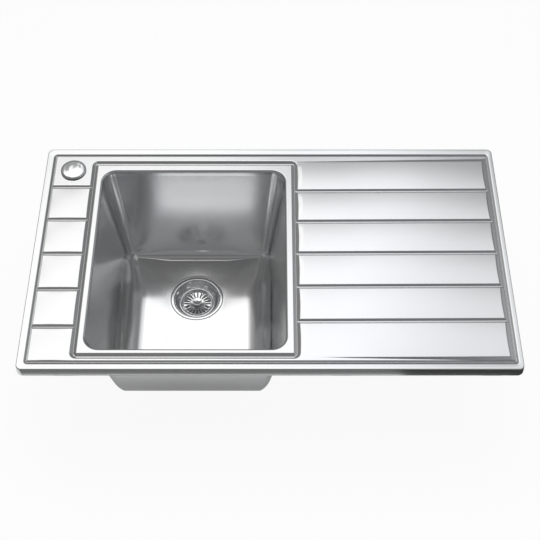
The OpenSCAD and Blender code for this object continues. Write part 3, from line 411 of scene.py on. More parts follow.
def add_bowl(skin, ids, loop):
    """The bowl from its border on: rolled mouth, collar, leaning walls, foot, falling floor and the waste's seat.

    Returns the first vertex of the walls, the first one of the floor, and the last ring."""
    slopes = [w / (BOWL_H - COLLAR_H) for w in (SIDE_LEAN, FRONT_LEAN, BACK_LEAN)]
    lean = math.atan(slopes[1])
    floor_depth = BOWL_H - FALL

    def edge_inset(r, slope):
        return (floor_depth - r - COLLAR_H) * slope + r * math.hypot(1, slope)

    def bowl_ring(side, front, back, depth):
        """A level of the bowl: its points, their outward directions and places, its box and its corner radius."""
        r = MOUTH_R - min(front, 0) + (FLOOR_R - MOUTH_R) * max(front, 0) / edge_inset(FOOT_CORNER_R, slopes[1])
        box = (BOWL_X - BOWL_W / 2 + side, BOWL_X + BOWL_W / 2 - side,
               BOWL_Y - BOWL_D / 2 + front, BOWL_Y + BOWL_D / 2 - back)
        pts, d, at = ring(box, r, *BOWL_POINTS)
        return np.concatenate([pts, np.full((len(pts), 1), RIM_H - depth)], 1), d, at, box, r

    def add_level(pts, d, normal):
        n = np.concatenate([-d * normal[0], np.full((len(d), 1), normal[1])], 1)
        return skin.add(pts, n, n)

    def foot_radius(place):
        """Radius of the foot at a place: wide under the sides, tight at the front and beside the back corners."""
        k, t = int(place), place % 1 / 0.75
        # Each side's radius in its middle, at its start and at its end, and that at the start of the next side
        middle, start, end, following = ((SIDE_FOOT_R, SIDE_FOOT_R, SIDE_CORNER_R, FOOT_CORNER_R),
                                         (FOOT_R, FOOT_CORNER_R, FOOT_CORNER_R, SIDE_CORNER_R),
                                         (SIDE_FOOT_R, SIDE_CORNER_R, SIDE_FOOT_R, FOOT_CORNER_R),
                                         (FOOT_CORNER_R, FOOT_CORNER_R, FOOT_CORNER_R, SIDE_FOOT_R))[k]
        if t <= 1:
            near = min(t / CORNER_REACH, (1 - t) / CORNER_REACH, 1)
            beside = start if t < 0.5 else end
            return middle + (beside - middle) * (1 - near * near * (3 - 2 * near))
        return end + (following - end) * (t - 1) * 3

    def foot_ring(a):
        sharp, full = [bowl_ring(*[edge_inset(r, slope) - r * math.cos(a) for slope in slopes],
                                 floor_depth - r + r * math.sin(a))[0] for r in (0.0, FOOT_R)]
        return sharp + (full - sharp) * radii / FOOT_R

    pts, d, at, box, r = bowl_ring(-ROLL_R, -ROLL_R, -ROLL_R, 0)
    radii = np.array([[foot_radius(place)] for place in at])
    first = add_level(pts, d, (0, 1))
    g_ids, g_at = in_order(ids, grid_places(loop, box, r))
    skin.zip(g_ids, g_at, first, at)
    prev = first
    for i in range(1, 7):
        w = math.radians(90 * i / 6)
        out = -ROLL_R * (1 - math.sin(w))
        cur = add_level(bowl_ring(out, out, out, ROLL_R * (1 - math.cos(w)))[0], d, (math.sin(w), math.cos(w)))
        skin.band(prev, cur)
        prev = cur
    collar, wall_end = bowl_ring(0, 0, 0, COLLAR_H)[0], foot_ring(lean)
    levels = [collar + (wall_end - collar) * share
              for share in (0, 0.03, 0.08, 0.16, 0.27, 0.39, 0.52, 0.65, 0.77, 0.87, 0.94, 1)]
    levels += [foot_ring(lean + (math.pi / 2 - lean) * i / 20) for i in range(1, 21)]
    first_wall = skin.count
    for pts in levels:
        cur = add_level(pts, d, (1, 0))
        skin.band(prev, cur)
        prev = cur
    edge = np.concatenate(skin.points)[prev]
    way = edge[:, :2] - np.array([WASTE_X, WASTE_Y])
    far = np.linalg.norm(way, axis=1)
    way = way / far[:, None]
    first_floor = skin.count

    # Rings of the floor by distance from the waste's middle and by height
    top, seat_top = RIM_H - floor_depth, RIM_H - BOWL_H
    rings = [(far + (SEAT_R + SEAT_ROUND - far) * share, top + (seat_top - top) * share)
             for share in (0.12, 0.28, 0.45, 0.62, 0.78, 0.9, 0.97)]
    rings += [(SEAT_R - inset, seat_top - drop) for inset, drop in SEAT_EDGE]
    rings += [(48, seat_top - SEAT_H), (WASTE_R, seat_top - SEAT_H)]
    up = np.tile([0.0, 0.0, 1.0], (len(way), 1))
    for radius, z in rings:
        pts = np.stack([WASTE_X + way[:, 0] * radius, WASTE_Y + way[:, 1] * radius, np.full(len(way), z)], 1)
        cur = skin.add(pts, up, up)
        skin.band(prev, cur)
        prev = cur
    return first_wall, first_floor, prev


def set_bowl_normals(skin, first_wall, first_floor):
    """Gives the bowl the normals of its faces, and turns those of its hollow front and back walls."""
    points, normals, offsets = [np.concatenate(part) for part in (skin.points, skin.normals, skin.offsets)]
    true = face_normals(skin, list(range(first_wall, skin.count)))
    normals[first_wall:] = true
    offsets[first_wall:first_floor] = true[:first_floor - first_wall]
    front, back = normals[:, 1] > 0.9, normals[:, 1] < -0.9
    front[:first_wall] = back[:first_wall] = False
    rise = points[:, 2] - (RIM_H - BOWL_H + FALL)
    turn_back = np.where(back, np.interp(points[:, 2], *zip(*BACK_TURN)), 0.0)
    turn = np.radians(np.where(front, np.interp(rise, *zip(*FRONT_TURN)), turn_back))
    ny, nz = normals[:, 1].copy(), normals[:, 2].copy()
    normals[:, 1] = ny * np.cos(turn) - nz * np.sin(turn)
    normals[:, 2] = nz * np.cos(turn) + ny * np.sin(turn)
    skin.points, skin.normals, skin.offsets = [points], [normals], [offsets]


def make_shell():
    skin = Skin()
    outer, mouth = add_deck(skin)
    flange_end = add_rim(skin, *outer)
    first_wall, first_floor, seat_end = add_bowl(skin, *mouth)
    set_bowl_normals(skin, first_wall, first_floor)
    return sheet_object("pressed_shell", skin, SHEET, [(flange_end, True), (seat_end, True)])


# Materials

def new_material(name, color, metallic, roughness):
    m = bpy.data.materials.new(name)
    m.use_nodes = True
    p = m.node_tree.nodes["Principled BSDF"]
    p.inputs["Base Color"].default_value = (*color, 1)
    p.inputs["Metallic"].default_value = metallic
    p.inputs["Roughness"].default_value = roughness
    return m, m.node_tree, p


def stretch(tree, scale):
    coord = tree.nodes.new("ShaderNodeTexCoord")
    mapping = tree.nodes.new("ShaderNodeMapping")
    mapping.inputs["Scale"].default_value = scale
    tree.links.new(coord.outputs["Object"], mapping.inputs["Vector"])
    return mapping.outputs["Vector"]


def noise(tree, vector, scale, detail, rough=0.5):
    n = tree.nodes.new("ShaderNodeTexNoise")
    n.inputs["Scale"].default_value = scale
    n.inputs["Detail"].default_value = detail
    n.inputs["Roughness"].default_value = rough
    tree.links.new(vector, n.inputs["Vector"])
    return n.outputs["Fac"]


def remap(tree, value, low, high):
    r = tree.nodes.new("ShaderNodeMapRange")
    r.inputs["From Min"].default_value = 0.25
    r.inputs["From Max"].default_value = 0.75
    r.inputs["To Min"].default_value = low
    r.inputs["To Max"].default_value = high
    tree.links.new(value, r.inputs["Value"])
    return r.outputs["Result"]


def tint(tree, value, dark, light):
    m = tree.nodes.new("ShaderNodeMix")
    m.data_type = "RGBA"
    m.inputs["A"].default_value = (*dark, 1)
    m.inputs["B"].default_value = (*light, 1)
    tree.links.new(value, m.inputs["Factor"])
    return m.outputs["Result"]


def bump(tree, p, height, strength, distance):
    b = tree.nodes.new("ShaderNodeBump")
    b.inputs["Strength"].default_value = strength
    b.inputs["Distance"].default_value = distance
    tree.links.new(height, b.inputs["Height"])
    tree.links.new(b.outputs["Normal"], p.inputs["Normal"])


# Heights in metres between which the painted lighter reflection below the deck fades in
PAINTED_SHEEN_FROM, PAINTED_SHEEN_TO = 0.017, 0.008


def steel(name, color, roughness, spread, grain, grain_scale, strength, painted_sheen=None):
    """Steel with a fine grain drawn out along one direction, and a slow change of its polish.

    A second, lighter colour is painted light: a brighter reflection on everything below the deck, which fades in
    from 17 mm down to 8 mm above the worktop."""
    m, tree, p = new_material(name, color, 1.0, roughness)
    fine = noise(tree, stretch(tree, grain), grain_scale, 4.0, 0.6)
    cloud = noise(tree, stretch(tree, (1, 1, 1)), 9.0, 2.0)
    base = tint(tree, cloud, tuple(c * 0.96 for c in color), tuple(min(1, c * 1.03) for c in color))
    if painted_sheen:
        # Painted light: the same steel turns lighter below the deck, which brightens its reflections there
        split = tree.nodes.new("ShaderNodeSeparateXYZ")
        tree.links.new(stretch(tree, (1, 1, 1)), split.inputs[0])
        fade = tree.nodes.new("ShaderNodeMapRange")
        fade.inputs["From Min"].default_value = PAINTED_SHEEN_FROM
        fade.inputs["From Max"].default_value = PAINTED_SHEEN_TO
        tree.links.new(split.outputs[2], fade.inputs["Value"])
        both = tree.nodes.new("ShaderNodeMix")
        both.data_type = "RGBA"
        both.inputs["B"].default_value = (*painted_sheen, 1)
        tree.links.new(base, both.inputs["A"])
        tree.links.new(fade.outputs["Result"], both.inputs["Factor"])
        base = both.outputs["Result"]
    tree.links.new(base, p.inputs["Base Color"])
    tree.links.new(remap(tree, fine, roughness - spread, roughness + spread), p.inputs["Roughness"])
    bump(tree, p, fine, strength, 0.0004)
    return m


def plain(name, dark, light, roughness, scale, strength, distance=0.0003):
    """Rubber, plastic or foam: a mottled colour with a fine tooth."""
    m, tree, p = new_material(name, dark, 0.0, roughness)
    grain = noise(tree, stretch(tree, (1, 1, 1)), scale, 5.0, 0.65)
    tree.links.new(tint(tree, grain, dark, light), p.inputs["Base Color"])
    tree.links.new(remap(tree, grain, roughness - 0.06, roughness + 0.06), p.inputs["Roughness"])
    bump(tree, p, grain, strength, distance)
    return m


# The lighter second colour is painted light: brighter reflections on the skirt and the bowl below the deck
sheet_steel = steel("sheet_steel", (0.765, 0.77, 0.775), 0.17, 0.015, (2, 60, 60), 30.0, 0.012,
                    painted_sheen=(0.84, 0.845, 0.85))
polished = steel("polished_steel", (0.80, 0.81, 0.82), 0.10, 0.02, (40, 40, 40), 20.0, 0.02)
zinc = steel("zinc_steel", (0.60, 0.62, 0.65), 0.34, 0.08, (25, 25, 25), 12.0, 0.15)
yellow_zinc = steel("passivated_steel", (0.70, 0.60, 0.36), 0.32, 0.08, (25, 25, 25), 12.0, 0.15)
rubber = plain("black_rubber", (0.016, 0.016, 0.017), (0.035, 0.035, 0.036), 0.62, 320.0, 0.25)
foam = plain("foam", (0.03, 0.03, 0.032), (0.10, 0.10, 0.10), 0.85, 900.0, 0.7, 0.0006)
sound = plain("sound_pad", (0.045, 0.047, 0.05), (0.075, 0.078, 0.082), 0.8, 240.0, 0.6, 0.0008)
white_plastic = plain("white_plastic", (0.74, 0.74, 0.73), (0.80, 0.80, 0.79), 0.42, 180.0, 0.08)

shell = make_shell()
shell.data.materials.append(sheet_steel)
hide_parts("sink_deck", "sink_bowl")
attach(shell, "sink")


# Turned and pierced pieces

def turned(name, profile, segments, material, centre):
    """A lathed solid: profile is a list of (radius, height) in millimetres round its section."""
    verts, faces = [], []
    rows = []
    for r, z in profile:
        if r < 1e-6:
            rows.append([len(verts)] * segments)
            verts.append((centre[0] * MM, centre[1] * MM, z * MM))
        else:
            rows.append(list(range(len(verts), len(verts) + segments)))
            for i in range(segments):
                a = 2 * math.pi * i / segments
                verts.append(((centre[0] + r * math.cos(a)) * MM, (centre[1] + r * math.sin(a)) * MM, z * MM))
    for a, b in zip(rows, rows[1:] + rows[:1]):
        for i in range(segments):
            j = (i + 1) % segments
            f = []
            for v in (a[i], a[j], b[j], b[i]):
                if v not in f:
                    f.append(v)
            if len(f) > 2:
                faces.append(f)
    mesh = bpy.data.meshes.new(name)
    mesh.from_pydata(verts, [], faces)
    mesh.validate()
    obj = bpy.data.objects.new(name, mesh)
    bpy.context.collection.objects.link(obj)
    tidy(obj, 32)
    obj.data.materials.append(material)
    return obj


def tidy(obj, angle):
    """Faces outwards, smooth but for edges sharper than the angle."""
    bm = bmesh.new()
    bm.from_mesh(obj.data)
    bmesh.ops.remove_doubles(bm, verts=bm.verts, dist=1e-7)
    bmesh.ops.recalc_face_normals(bm, faces=bm.faces)
    for f in bm.faces:
        f.smooth = True
    limit = math.radians(angle)
    for e in bm.edges:
        if len(e.link_faces) == 2 and e.calc_face_angle(0) > limit:
            e.smooth = False
    bm.to_mesh(obj.data)
    bm.free()


def arc(cx, cz, r, a0, a1, n):
    """Points on an arc of a section, from angle a0 to a1 in degrees."""
    out = []
    for i in range(n + 1):
        a = math.radians(a0 + (a1 - a0) * i / n)
        out.append((cx + r * math.cos(a), cz + r * math.sin(a)))
    return out


def circle_points(cx, cy, r, n):
    return [(cx + r * math.cos(2 * math.pi * i / n), cy + r * math.sin(2 * math.pi * i / n)) for i in range(n)]


def slot_points(r0, r1, w, angle, n=6):
    """A radial slot with round ends."""
    pts = []
    for end, cx in ((-90, r1), (90, r0)):
        for i in range(n + 1):
            a = math.radians(end + 180 * i / n)
            pts.append((cx + w / 2 * math.cos(a), w / 2 * math.sin(a)))
    ca, sa = math.cos(angle), math.sin(angle)
    return [(x * ca - y * sa, x * sa + y * ca) for x, y in pts]


def pierced(name, outlines, thickness, edge, z, material, centre):
    """A plate with holes: outlines are closed loops in millimetres, edge rounds them all."""
    cu = bpy.data.curves.new(name, "CURVE")
    cu.dimensions = "2D"
    cu.fill_mode = "BOTH"
    cu.extrude = (thickness / 2 - edge) * MM
    cu.bevel_depth = edge * MM
    cu.bevel_resolution = 2
    cu.offset = -edge * MM
    for loop in outlines:
        s = cu.splines.new("POLY")
        s.points.add(len(loop) - 1)
        for p, (x, y) in zip(s.points, loop):
            p.co = (x * MM, y * MM, 0, 1)
        s.use_cyclic_u = True
    tmp = bpy.data.objects.new(name + "_curve", cu)
    bpy.context.collection.objects.link(tmp)
    mesh = bpy.data.meshes.new_from_object(tmp)
    bpy.data.objects.remove(tmp)
    mesh.name = name
    for v in mesh.vertices:
        v.co.x += centre[0] * MM
        v.co.y += centre[1] * MM
        v.co.z += (z + thickness / 2) * MM
    obj = bpy.data.objects.new(name, mesh)
    bpy.context.collection.objects.link(obj)
    tidy(obj, 40)
    obj.data.materials.clear()
    obj.data.materials.append(material)
    return obj


def join(name, parts):
    """One object made of several, each keeping its material."""
    bm = bmesh.new()
    mats = []
    for part in parts:
        mesh = part.data
        shift = []
        for m in mesh.materials:
            if m not in mats:
                mats.append(m)
            shift.append(mats.index(m))
        start = len(bm.faces)
        bm.from_mesh(mesh)
        bm.faces.ensure_lookup_table()
        for f in bm.faces[start:]:
            f.material_index = shift[f.material_index] if shift else 0
    out = bpy.data.meshes.new(name)
    bm.to_mesh(out)
    bm.free()
    for m in mats:
        out.materials.append(m)
    for part in parts:
        bpy.data.objects.remove(part)
    obj = bpy.data.objects.new(name, out)
    bpy.context.collection.objects.link(obj)
    return obj


WASTE = (WASTE_X, WASTE_Y)
CUP_R, LEDGE_W, NECK_R, STEM_BORE_R, HUB_R, PLATE_R = 33.0, 2.4, 43.0, 3.05, 14.2, 27
BASKET_TOP, BASKET_FLOOR, CUP_FLOOR = LIP_Z - 12.5, LIP_Z - 19.0, LIP_Z - 36.0
LEDGE_Z = BASKET_TOP - 0.2 - CUP_T
LEDGE_R = CUP_R + LEDGE_W

cup_profile = [(28, CUP_FLOOR), (CUP_R - 1.5, CUP_FLOOR)]
cup_profile += arc(CUP_R - 1.5, CUP_FLOOR + 1.5, 1.5, -90, 0, 5)
LEDGE_TOP = LEDGE_Z + CUP_T
cup_profile += [(CUP_R, LEDGE_TOP - 0.5), (CUP_R + 0.2, LEDGE_TOP - 0.1), (CUP_R + 0.6, LEDGE_TOP),
                (LEDGE_R - 0.4, LEDGE_TOP), (LEDGE_R, LEDGE_TOP + 0.2), (LEDGE_R + 0.4, LEDGE_TOP + 0.8)]
cup_profile += [(LEDGE_R + 3.2, LEDGE_TOP + 6.0), (NECK_R + 0.6, LIP_Z - 0.6), (NECK_R + 1.6, LIP_Z + 0.45),
                (NECK_R + 2.3, LIP_Z + 1.08), (NECK_R + 3.1, LIP_Z + 1.24), (NECK_R + 4.0, LIP_Z + 1.30)]
cup_profile += [(LIP_R - 1.3, LIP_Z + 1.32)]
cup_profile += arc(LIP_R - 0.8, LIP_Z + 0.6, 0.76, 80, -60, 8)
cup_profile += [(LIP_R - 2.2, LIP_Z), (NECK_R + 0.6, LIP_Z), (LEDGE_R + CUP_T, LEDGE_Z), (CUP_R + CUP_T, LEDGE_Z),
                (CUP_R + CUP_T, CUP_FLOOR - CUP_T), (28, CUP_FLOOR - CUP_T)]
cup = turned("cup_wall", cup_profile, 96, polished, WASTE)
cup_holes = [circle_points(0, 0, 29, 64), circle_points(0, 0, STEM_BORE_R, 24)]
cup_holes += [circle_points(20 * math.cos(math.radians(45 * k)), 20 * math.sin(math.radians(45 * k)), 5.5, 28)
              for k in range(8)]
cup_floor = pierced("cup_floor", cup_holes, CUP_T, 0.2, CUP_FLOOR - CUP_T, polished, WASTE)
cup = join("strainer_cup_pressed", [cup, cup_floor])
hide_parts("strainer_cup")
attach(cup, "sink")

WALL_R = CUP_R - 2 * CUP_T - 0.2
RIM_R = CUP_R + LEDGE_W - 0.2
wall_profile = [(26.5, BASKET_FLOOR + CUP_T)]
wall_profile += arc(WALL_R - 2.4, BASKET_FLOOR + 2.4, 1.6, -90, 0, 5)
wall_profile += arc(WALL_R + 0.8, BASKET_TOP + CUP_T - 1.6, 1.6, 180, 90, 4)
wall_profile += [(RIM_R - 0.5, BASKET_TOP + CUP_T)] + arc(RIM_R - 0.4, BASKET_TOP + CUP_T / 2, 0.4, 90, -90, 4)
wall_profile += [(WALL_R + 1.0, BASKET_TOP)] + arc(WALL_R + 0.8, BASKET_TOP + CUP_T - 1.6, 0.8, 90, 180, 3)
wall_profile += arc(WALL_R - 2.4, BASKET_FLOOR + 2.4, 2.4, 0, -90, 6) + [(26.5, BASKET_FLOOR)]
dish = turned("basket_wall", wall_profile, 96, polished, WASTE)
slots = 20
plate = [circle_points(0, 0, PLATE_R, 72), circle_points(0, 0, STEM_BORE_R, 24)]
plate += [slot_points(15.4, 25.2, 1.9, 2 * math.pi * k / slots) for k in range(slots)]
plate = pierced("basket_plate", plate, CUP_T, 0.2, BASKET_FLOOR, polished, WASTE)
hub_profile = [(STEM_BORE_R, BASKET_FLOOR + 0.4), (HUB_R, BASKET_FLOOR + 0.4), (HUB_R, BASKET_FLOOR + 1.8),
               (13.9, BASKET_FLOOR + 2.05), (13.4, BASKET_FLOOR + 2.0), (9, BASKET_FLOOR + 1.35),
               (STEM_BORE_R, BASKET_FLOOR + 0.95)]
hub = turned("basket_hub", hub_profile, 64, polished, WASTE)
dish = join("basket_pressed", [dish, plate, hub])
# The basket's floor is dished: it rises from the hub to the plate's edge and meets the wall's rounded foot again.
DISH_SLOPE, DISH_R, DISH_END_R = 0.12, 14, 30.4
for v in dish.data.vertices:
    r = math.hypot(v.co.x / MM - WASTE_X, v.co.y / MM - WASTE_Y)
    if DISH_R < r < DISH_END_R and v.co.z / MM < BASKET_FLOOR + 3:
        fade = min((DISH_END_R - r) / (DISH_END_R - PLATE_R), 1)
        v.co.z += DISH_SLOPE * (min(r, PLATE_R) - DISH_R) * fade * MM
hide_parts("basket")
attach(dish, "basket_body")

KNOB_Z = BASKET_FLOOR + 2.2
knob_profile = [(STEM_BORE_R, KNOB_Z), (7.2, KNOB_Z), (7.8, KNOB_Z + 0.4), (7.6, KNOB_Z + 1.8),
                (7.4, KNOB_Z + 2.6), (8.0, KNOB_Z + 3.2), (9.0, KNOB_Z + 3.6), (9.5, KNOB_Z + 4.3),
                (9.5, KNOB_Z + 7.7),
                (9.3, KNOB_Z + 8.15), (8.8, KNOB_Z + 8.3), (8.3, KNOB_Z + 8.2), (6, KNOB_Z + 7.75),
                (4, KNOB_Z + 7.45), (2.2, KNOB_Z + 7.3), (1.9, KNOB_Z + 7.5), (1.7, KNOB_Z + 8.6),
                (1.2, KNOB_Z + 9.0), (0, KNOB_Z + 9.0), (0, KNOB_Z + 4.5), (STEM_BORE_R, KNOB_Z + 4.5)]
knob = turned("basket_knob_turned", knob_profile, 72, polished, WASTE)
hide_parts("basket_knob")
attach(knob, "plunger")

STOP_Z = CUP_FLOOR + 0.2
stop_profile = [(8.2, STOP_Z), (27.2, STOP_Z)] + arc(27.6, STOP_Z + 1.4, 1.4, -90, 80, 8)
stop_profile += [(25.5, STOP_Z + 3.4), (17, STOP_Z + 4.6), (11, STOP_Z + 5.8), (8.8, STOP_Z + 6.6),
                 (8.2, STOP_Z + 7.4), (7.6, STOP_Z + 8.0), (STEM_BORE_R, STOP_Z + 8.0),
                 (STEM_BORE_R, STOP_Z + 2.8), (8.2, STOP_Z + 2.8)]
stopper = turned("stopper_bell", stop_profile, 72, rubber, WASTE)
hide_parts("basket_stopper")
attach(stopper, "plunger")

# Cap of the tap hole: a crest with an edge that rolls down as a quarter of an ellipse
CAP_Z, CAP_R, CREST_R = RIM_H + 1.0, 24.0, 16.4
cap_profile = [(CAP_R - 1.4, CAP_Z)] + arc(CAP_R - 0.6, CAP_Z + 0.6, 0.6, -90, 0, 4)
crest = [(r, CAP_Z + 4.6 - r * r / 300) for r in (CREST_R, 14, 11, 8, 5, 2.5, 0)]
cap_profile += [(CREST_R + (CAP_R - CREST_R) * math.cos(math.radians(w)),
                 CAP_Z + 1.0 + 2.7 * math.sin(math.radians(w)))
                for w in (4, 12, 22, 33, 45, 57, 69, 80)]
cap_profile += crest + [(0, CAP_Z + 3.4), (12, CAP_Z + 2.9), (18, CAP_Z + 2.2), (CAP_R - 1.4, CAP_Z + 1.0)]
wavy, wavy_tree, wavy_shader = new_material("wavy_steel", (0.80, 0.81, 0.82), 1.0, 0.09)
bump(wavy_tree, wavy_shader, noise(wavy_tree, stretch(wavy_tree, (1.0, 0.45, 1.0)), 75.0, 1.0), 0.5, 0.0022)
cap = turned("tap_hole_cap_pressed", cap_profile, 96, wavy, (TAP_X, TAP_Y))
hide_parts("tap_hole_cap")
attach(cap, "sink")


# Carried-over CAD nodes: materials, and a small bevel where a pressed or cut edge is rounded

def dress(node, material, bevel=0.0):
    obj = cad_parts[node]
    obj.data.materials.clear()
    obj.data.materials.append(material)
    if bevel:
        b = obj.modifiers.new("edge", "BEVEL")
        b.width = bevel * MM
        b.segments = 2
        b.limit_method = "ANGLE"
        b.angle_limit = math.radians(40)


for node in ("drainer_stiffener_front", "drainer_stiffener_rear"):
    dress(node, zinc, 0.4)
for node in ("clip_brackets", "cap_stud", "cap_wing_nut", "waste_screw", "basket_stem", "stem_clip"):
    dress(node, zinc, 0.25)
for k in range(1, 9):
    dress("clip_arm_%d" % k, zinc, 0.25)
dress("clip_screws", yellow_zinc, 0.2)
dress("worktop_seal", foam)
for node in ("bowl_sound_pad", "drainer_sound_pad"):
    dress(node, sound)
for node in ("tap_hole_gasket", "strainer_seal", "waste_gasket"):
    dress(node, rubber)
dress("cap_clamp_washer", white_plastic, 0.4)
dress("waste_body", white_plastic, 0.5)


# Studio: a pale floor, a soft world with one bright window behind and above, a soft overhead lamp, and dark cards
# that only reflections show

# Shares of white in the floor as the camera sees it, and as metal shows it
FLOOR_SEEN, FLOOR_GLOSSY = 0.93, 0.15
LAMP_WATTS, LAMP_SIZE, LAMP_AT = 30, (1.8, 1.4), (0, 0.0, 2.0)
CAMERA_LENS, CAMERA_AT, CAMERA_TILT = 75.4, (0.0, -1.2393, 1.6502), 36.3


def world_light():
    """The light round the part, by elevation and by azimuth in degrees: 0 is the back and 90 the right."""
    w = bpy.data.worlds.new("studio")
    bpy.context.scene.world = w
    w.use_nodes = True
    t = w.node_tree
    t.nodes.clear()
    N = t.nodes.new
    L = t.links.new

    def math_node(op, *args):
        n = N("ShaderNodeMath")
        n.operation = op
        for i, a in enumerate(args):
            if isinstance(a, (int, float)):
                n.inputs[i].default_value = a
            else:
                L(a, n.inputs[i])
        return n.outputs[0]

    def ramp(value, a, b):
        """0 up to a, 1 from b on, and a smooth rise between them."""
        n = N("ShaderNodeMapRange")
        n.interpolation_type = "SMOOTHSTEP"
        n.inputs["From Min"].default_value = a
        n.inputs["From Max"].default_value = b
        L(value, n.inputs["Value"])
        return n.outputs["Result"]

    coord = N("ShaderNodeTexCoord")
    xyz = N("ShaderNodeSeparateXYZ")
    L(coord.outputs["Generated"], xyz.inputs[0])
    x, y, z = xyz.outputs
    elevation = math_node("MULTIPLY", math_node("ARCSINE", z), 180 / math.pi)
    azimuth = math_node("MULTIPLY", math_node("ARCTAN2", x, y), 180 / math.pi)
    around = math_node("ABSOLUTE", azimuth)

    def one_minus(value):
        return math_node("SUBTRACT", 1.0, value)

    def times(*values):
        out = values[0]
        for value in values[1:]:
            out = math_node("MULTIPLY", out, value)
        return out

    # The window's lower edge, by azimuth
    foot = math_node("MULTIPLY_ADD", ramp(azimuth, -27, -18), -5.0, 44.5)
    foot = math_node("MULTIPLY_ADD", ramp(azimuth, -3, 2), 5.5, foot)
    foot = math_node("MULTIPLY_ADD", ramp(azimuth, 2, 7), -3.0, foot)
    foot = math_node("MULTIPLY_ADD", ramp(azimuth, 9, 14), 3.0, foot)
    above = math_node("DIVIDE", math_node("SUBTRACT", elevation, foot), 9.5)
    extent = times(one_minus(ramp(elevation, 72, 82)), ramp(azimuth, -58, -38), one_minus(ramp(azimuth, 26, 40)))
    window = times(ramp(above, 0, 1), extent)
    glow = math_node("MULTIPLY_ADD", ramp(azimuth, 9, 15), -0.34, 1.36)
    # The room: darker to the sides, overhead and behind the camera, lighter low on the right and low behind,
    # with a soft fill high on the right
    haze = times(ramp(elevation, 20, 44), extent, one_minus(ramp(azimuth, 12, 24)), 0.12)
    away = ramp(around, 48, 74)
    low = one_minus(ramp(elevation, 48, 62))
    room = math_node("MULTIPLY_ADD", times(away, math_node("MULTIPLY_ADD", low, 0.05, 0.09)), -1.0, 0.31)
    overhead = times(ramp(elevation, 72, 82), math_node("MULTIPLY_ADD", away, -0.06, 0.15))
    room = math_node("MULTIPLY_ADD", overhead, -1.0, room)
    ahead = times(one_minus(ramp(elevation, 28, 42)), one_minus(away))
    room = math_node("MULTIPLY_ADD", ahead, -0.08, room)
    right = times(ramp(azimuth, 14, 28), ramp(elevation, 28, 38), one_minus(away))
    room = math_node("MULTIPLY_ADD", right, -0.09, room)
    side = times(ramp(azimuth, 40, 56), one_minus(ramp(azimuth, 105, 130)), one_minus(ramp(elevation, 46, 58)))
    room = math_node("MULTIPLY_ADD", side, 0.22, room)
    behind = times(ramp(around, 100, 150), one_minus(ramp(elevation, 25, 55)))
    room = math_node("MULTIPLY_ADD", behind, -0.06, room)
    low_behind = times(ramp(around, 95, 125), one_minus(ramp(elevation, 26, 38)))
    room = math_node("MULTIPLY_ADD", low_behind, 0.16, room)
    fill = times(ramp(elevation, 50, 60), one_minus(ramp(elevation, 74, 84)),
                 ramp(azimuth, 70, 88), one_minus(ramp(azimuth, 112, 130)))
    room = math_node("MULTIPLY_ADD", fill, 0.3, math_node("ADD", haze, room))
    level = math_node("MULTIPLY_ADD", window, math_node("SUBTRACT", glow, room), room)
    mix = N("ShaderNodeMix")
    mix.data_type = "RGBA"
    mix.inputs["A"].default_value = (1.0, 0.995, 0.985, 1)
    mix.inputs["B"].default_value = (0.98, 0.995, 1.01, 1)
    L(ramp(azimuth, -12, 4), mix.inputs["Factor"])
    bg = N("ShaderNodeBackground")
    L(mix.outputs["Result"], bg.inputs["Color"])
    L(level, bg.inputs["Strength"])
    out = N("ShaderNodeOutputWorld")
    L(bg.outputs[0], out.inputs["Surface"])


world_light()

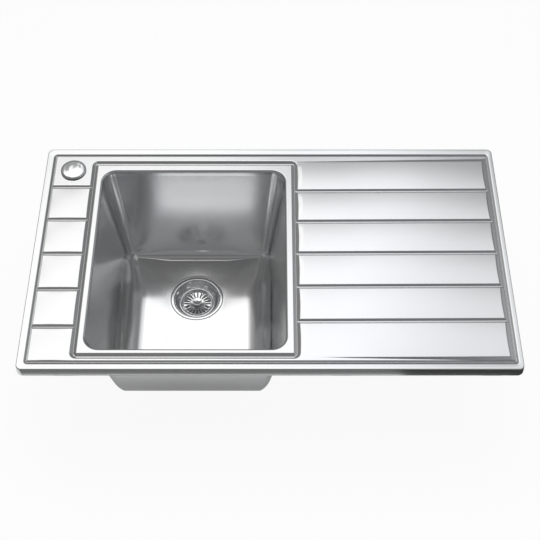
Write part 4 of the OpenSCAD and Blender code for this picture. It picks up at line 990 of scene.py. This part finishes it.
floor_z = min(cad_box[0][2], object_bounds()[0][2]) - 0.0008
bpy.ops.mesh.primitive_plane_add(size=60, location=(0, 0, floor_z))
floor = bpy.context.object
floor.name = "studio_floor"
fm, ft, fp = new_material("studio_floor", (0.9, 0.9, 0.9), 0.0, 0.9)
fp.inputs["Specular IOR Level"].default_value = 0.0
glow = ft.nodes.new("ShaderNodeEmission")
glow.inputs["Color"].default_value = (1, 1, 1, 1)
seen = ft.nodes.new("ShaderNodeLightPath")
glossy = ft.nodes.new("ShaderNodeMath")
glossy.operation = "MULTIPLY"
glossy.inputs[1].default_value = FLOOR_GLOSSY
ft.links.new(seen.outputs["Is Glossy Ray"], glossy.inputs[0])
share = ft.nodes.new("ShaderNodeMath")
share.operation = "MULTIPLY_ADD"
share.inputs[1].default_value = FLOOR_SEEN
ft.links.new(seen.outputs["Is Camera Ray"], share.inputs[0])
ft.links.new(glossy.outputs[0], share.inputs[2])
blend = ft.nodes.new("ShaderNodeMixShader")
ft.links.new(share.outputs[0], blend.inputs["Fac"])
ft.links.new(fp.outputs[0], blend.inputs[1])
ft.links.new(glow.outputs[0], blend.inputs[2])
ft.links.new(blend.outputs[0], ft.nodes["Material Output"].inputs["Surface"])
floor.data.materials.append(fm)


def flag(name, x0, x1, y0, y1, shade):
    """A dark card that lies in front of the part, outside the picture, and is seen only in reflections."""
    bpy.ops.mesh.primitive_plane_add(size=1, location=((x0 + x1) / 2, (y0 + y1) / 2, floor_z + 0.0005))
    card = bpy.context.object
    card.name = name
    card.scale = (x1 - x0, y1 - y0, 1)
    card.data.materials.append(new_material(name, (shade, shade, shade), 0.0, 0.9)[0])
    card.visible_camera = card.visible_diffuse = card.visible_shadow = False


# Grey under the front edge, black under its right part and beyond the right end
flag("grey_flag", -1.4, 0.265, -2.2, -0.435, 0.22)
flag("black_flag", 0.265, 1.6, -2.2, -0.405, 0.055)
flag("side_flag", 0.47, 1.1, -0.405, -0.1, 0.055)

lamp_data = bpy.data.lights.new("overhead", "AREA")
lamp_data.shape = "RECTANGLE"
lamp_data.size, lamp_data.size_y = LAMP_SIZE
lamp_data.energy = LAMP_WATTS
lamp = bpy.data.objects.new("overhead", lamp_data)
lamp.location = LAMP_AT
lamp.visible_glossy = False
bpy.context.collection.objects.link(lamp)

cam_data = bpy.data.cameras.new("photo_camera")
cam_data.sensor_width = 36.0
cam_data.lens = CAMERA_LENS
cam = bpy.data.objects.new("photo_camera", cam_data)
cam.location = CAMERA_AT
cam.rotation_euler = (math.radians(CAMERA_TILT), 0, 0)
cam_data.clip_start, cam_data.clip_end = 0.05, 50
bpy.context.collection.objects.link(cam)
bpy.context.scene.camera = cam

bpy.context.scene.view_settings.view_transform = "Standard"
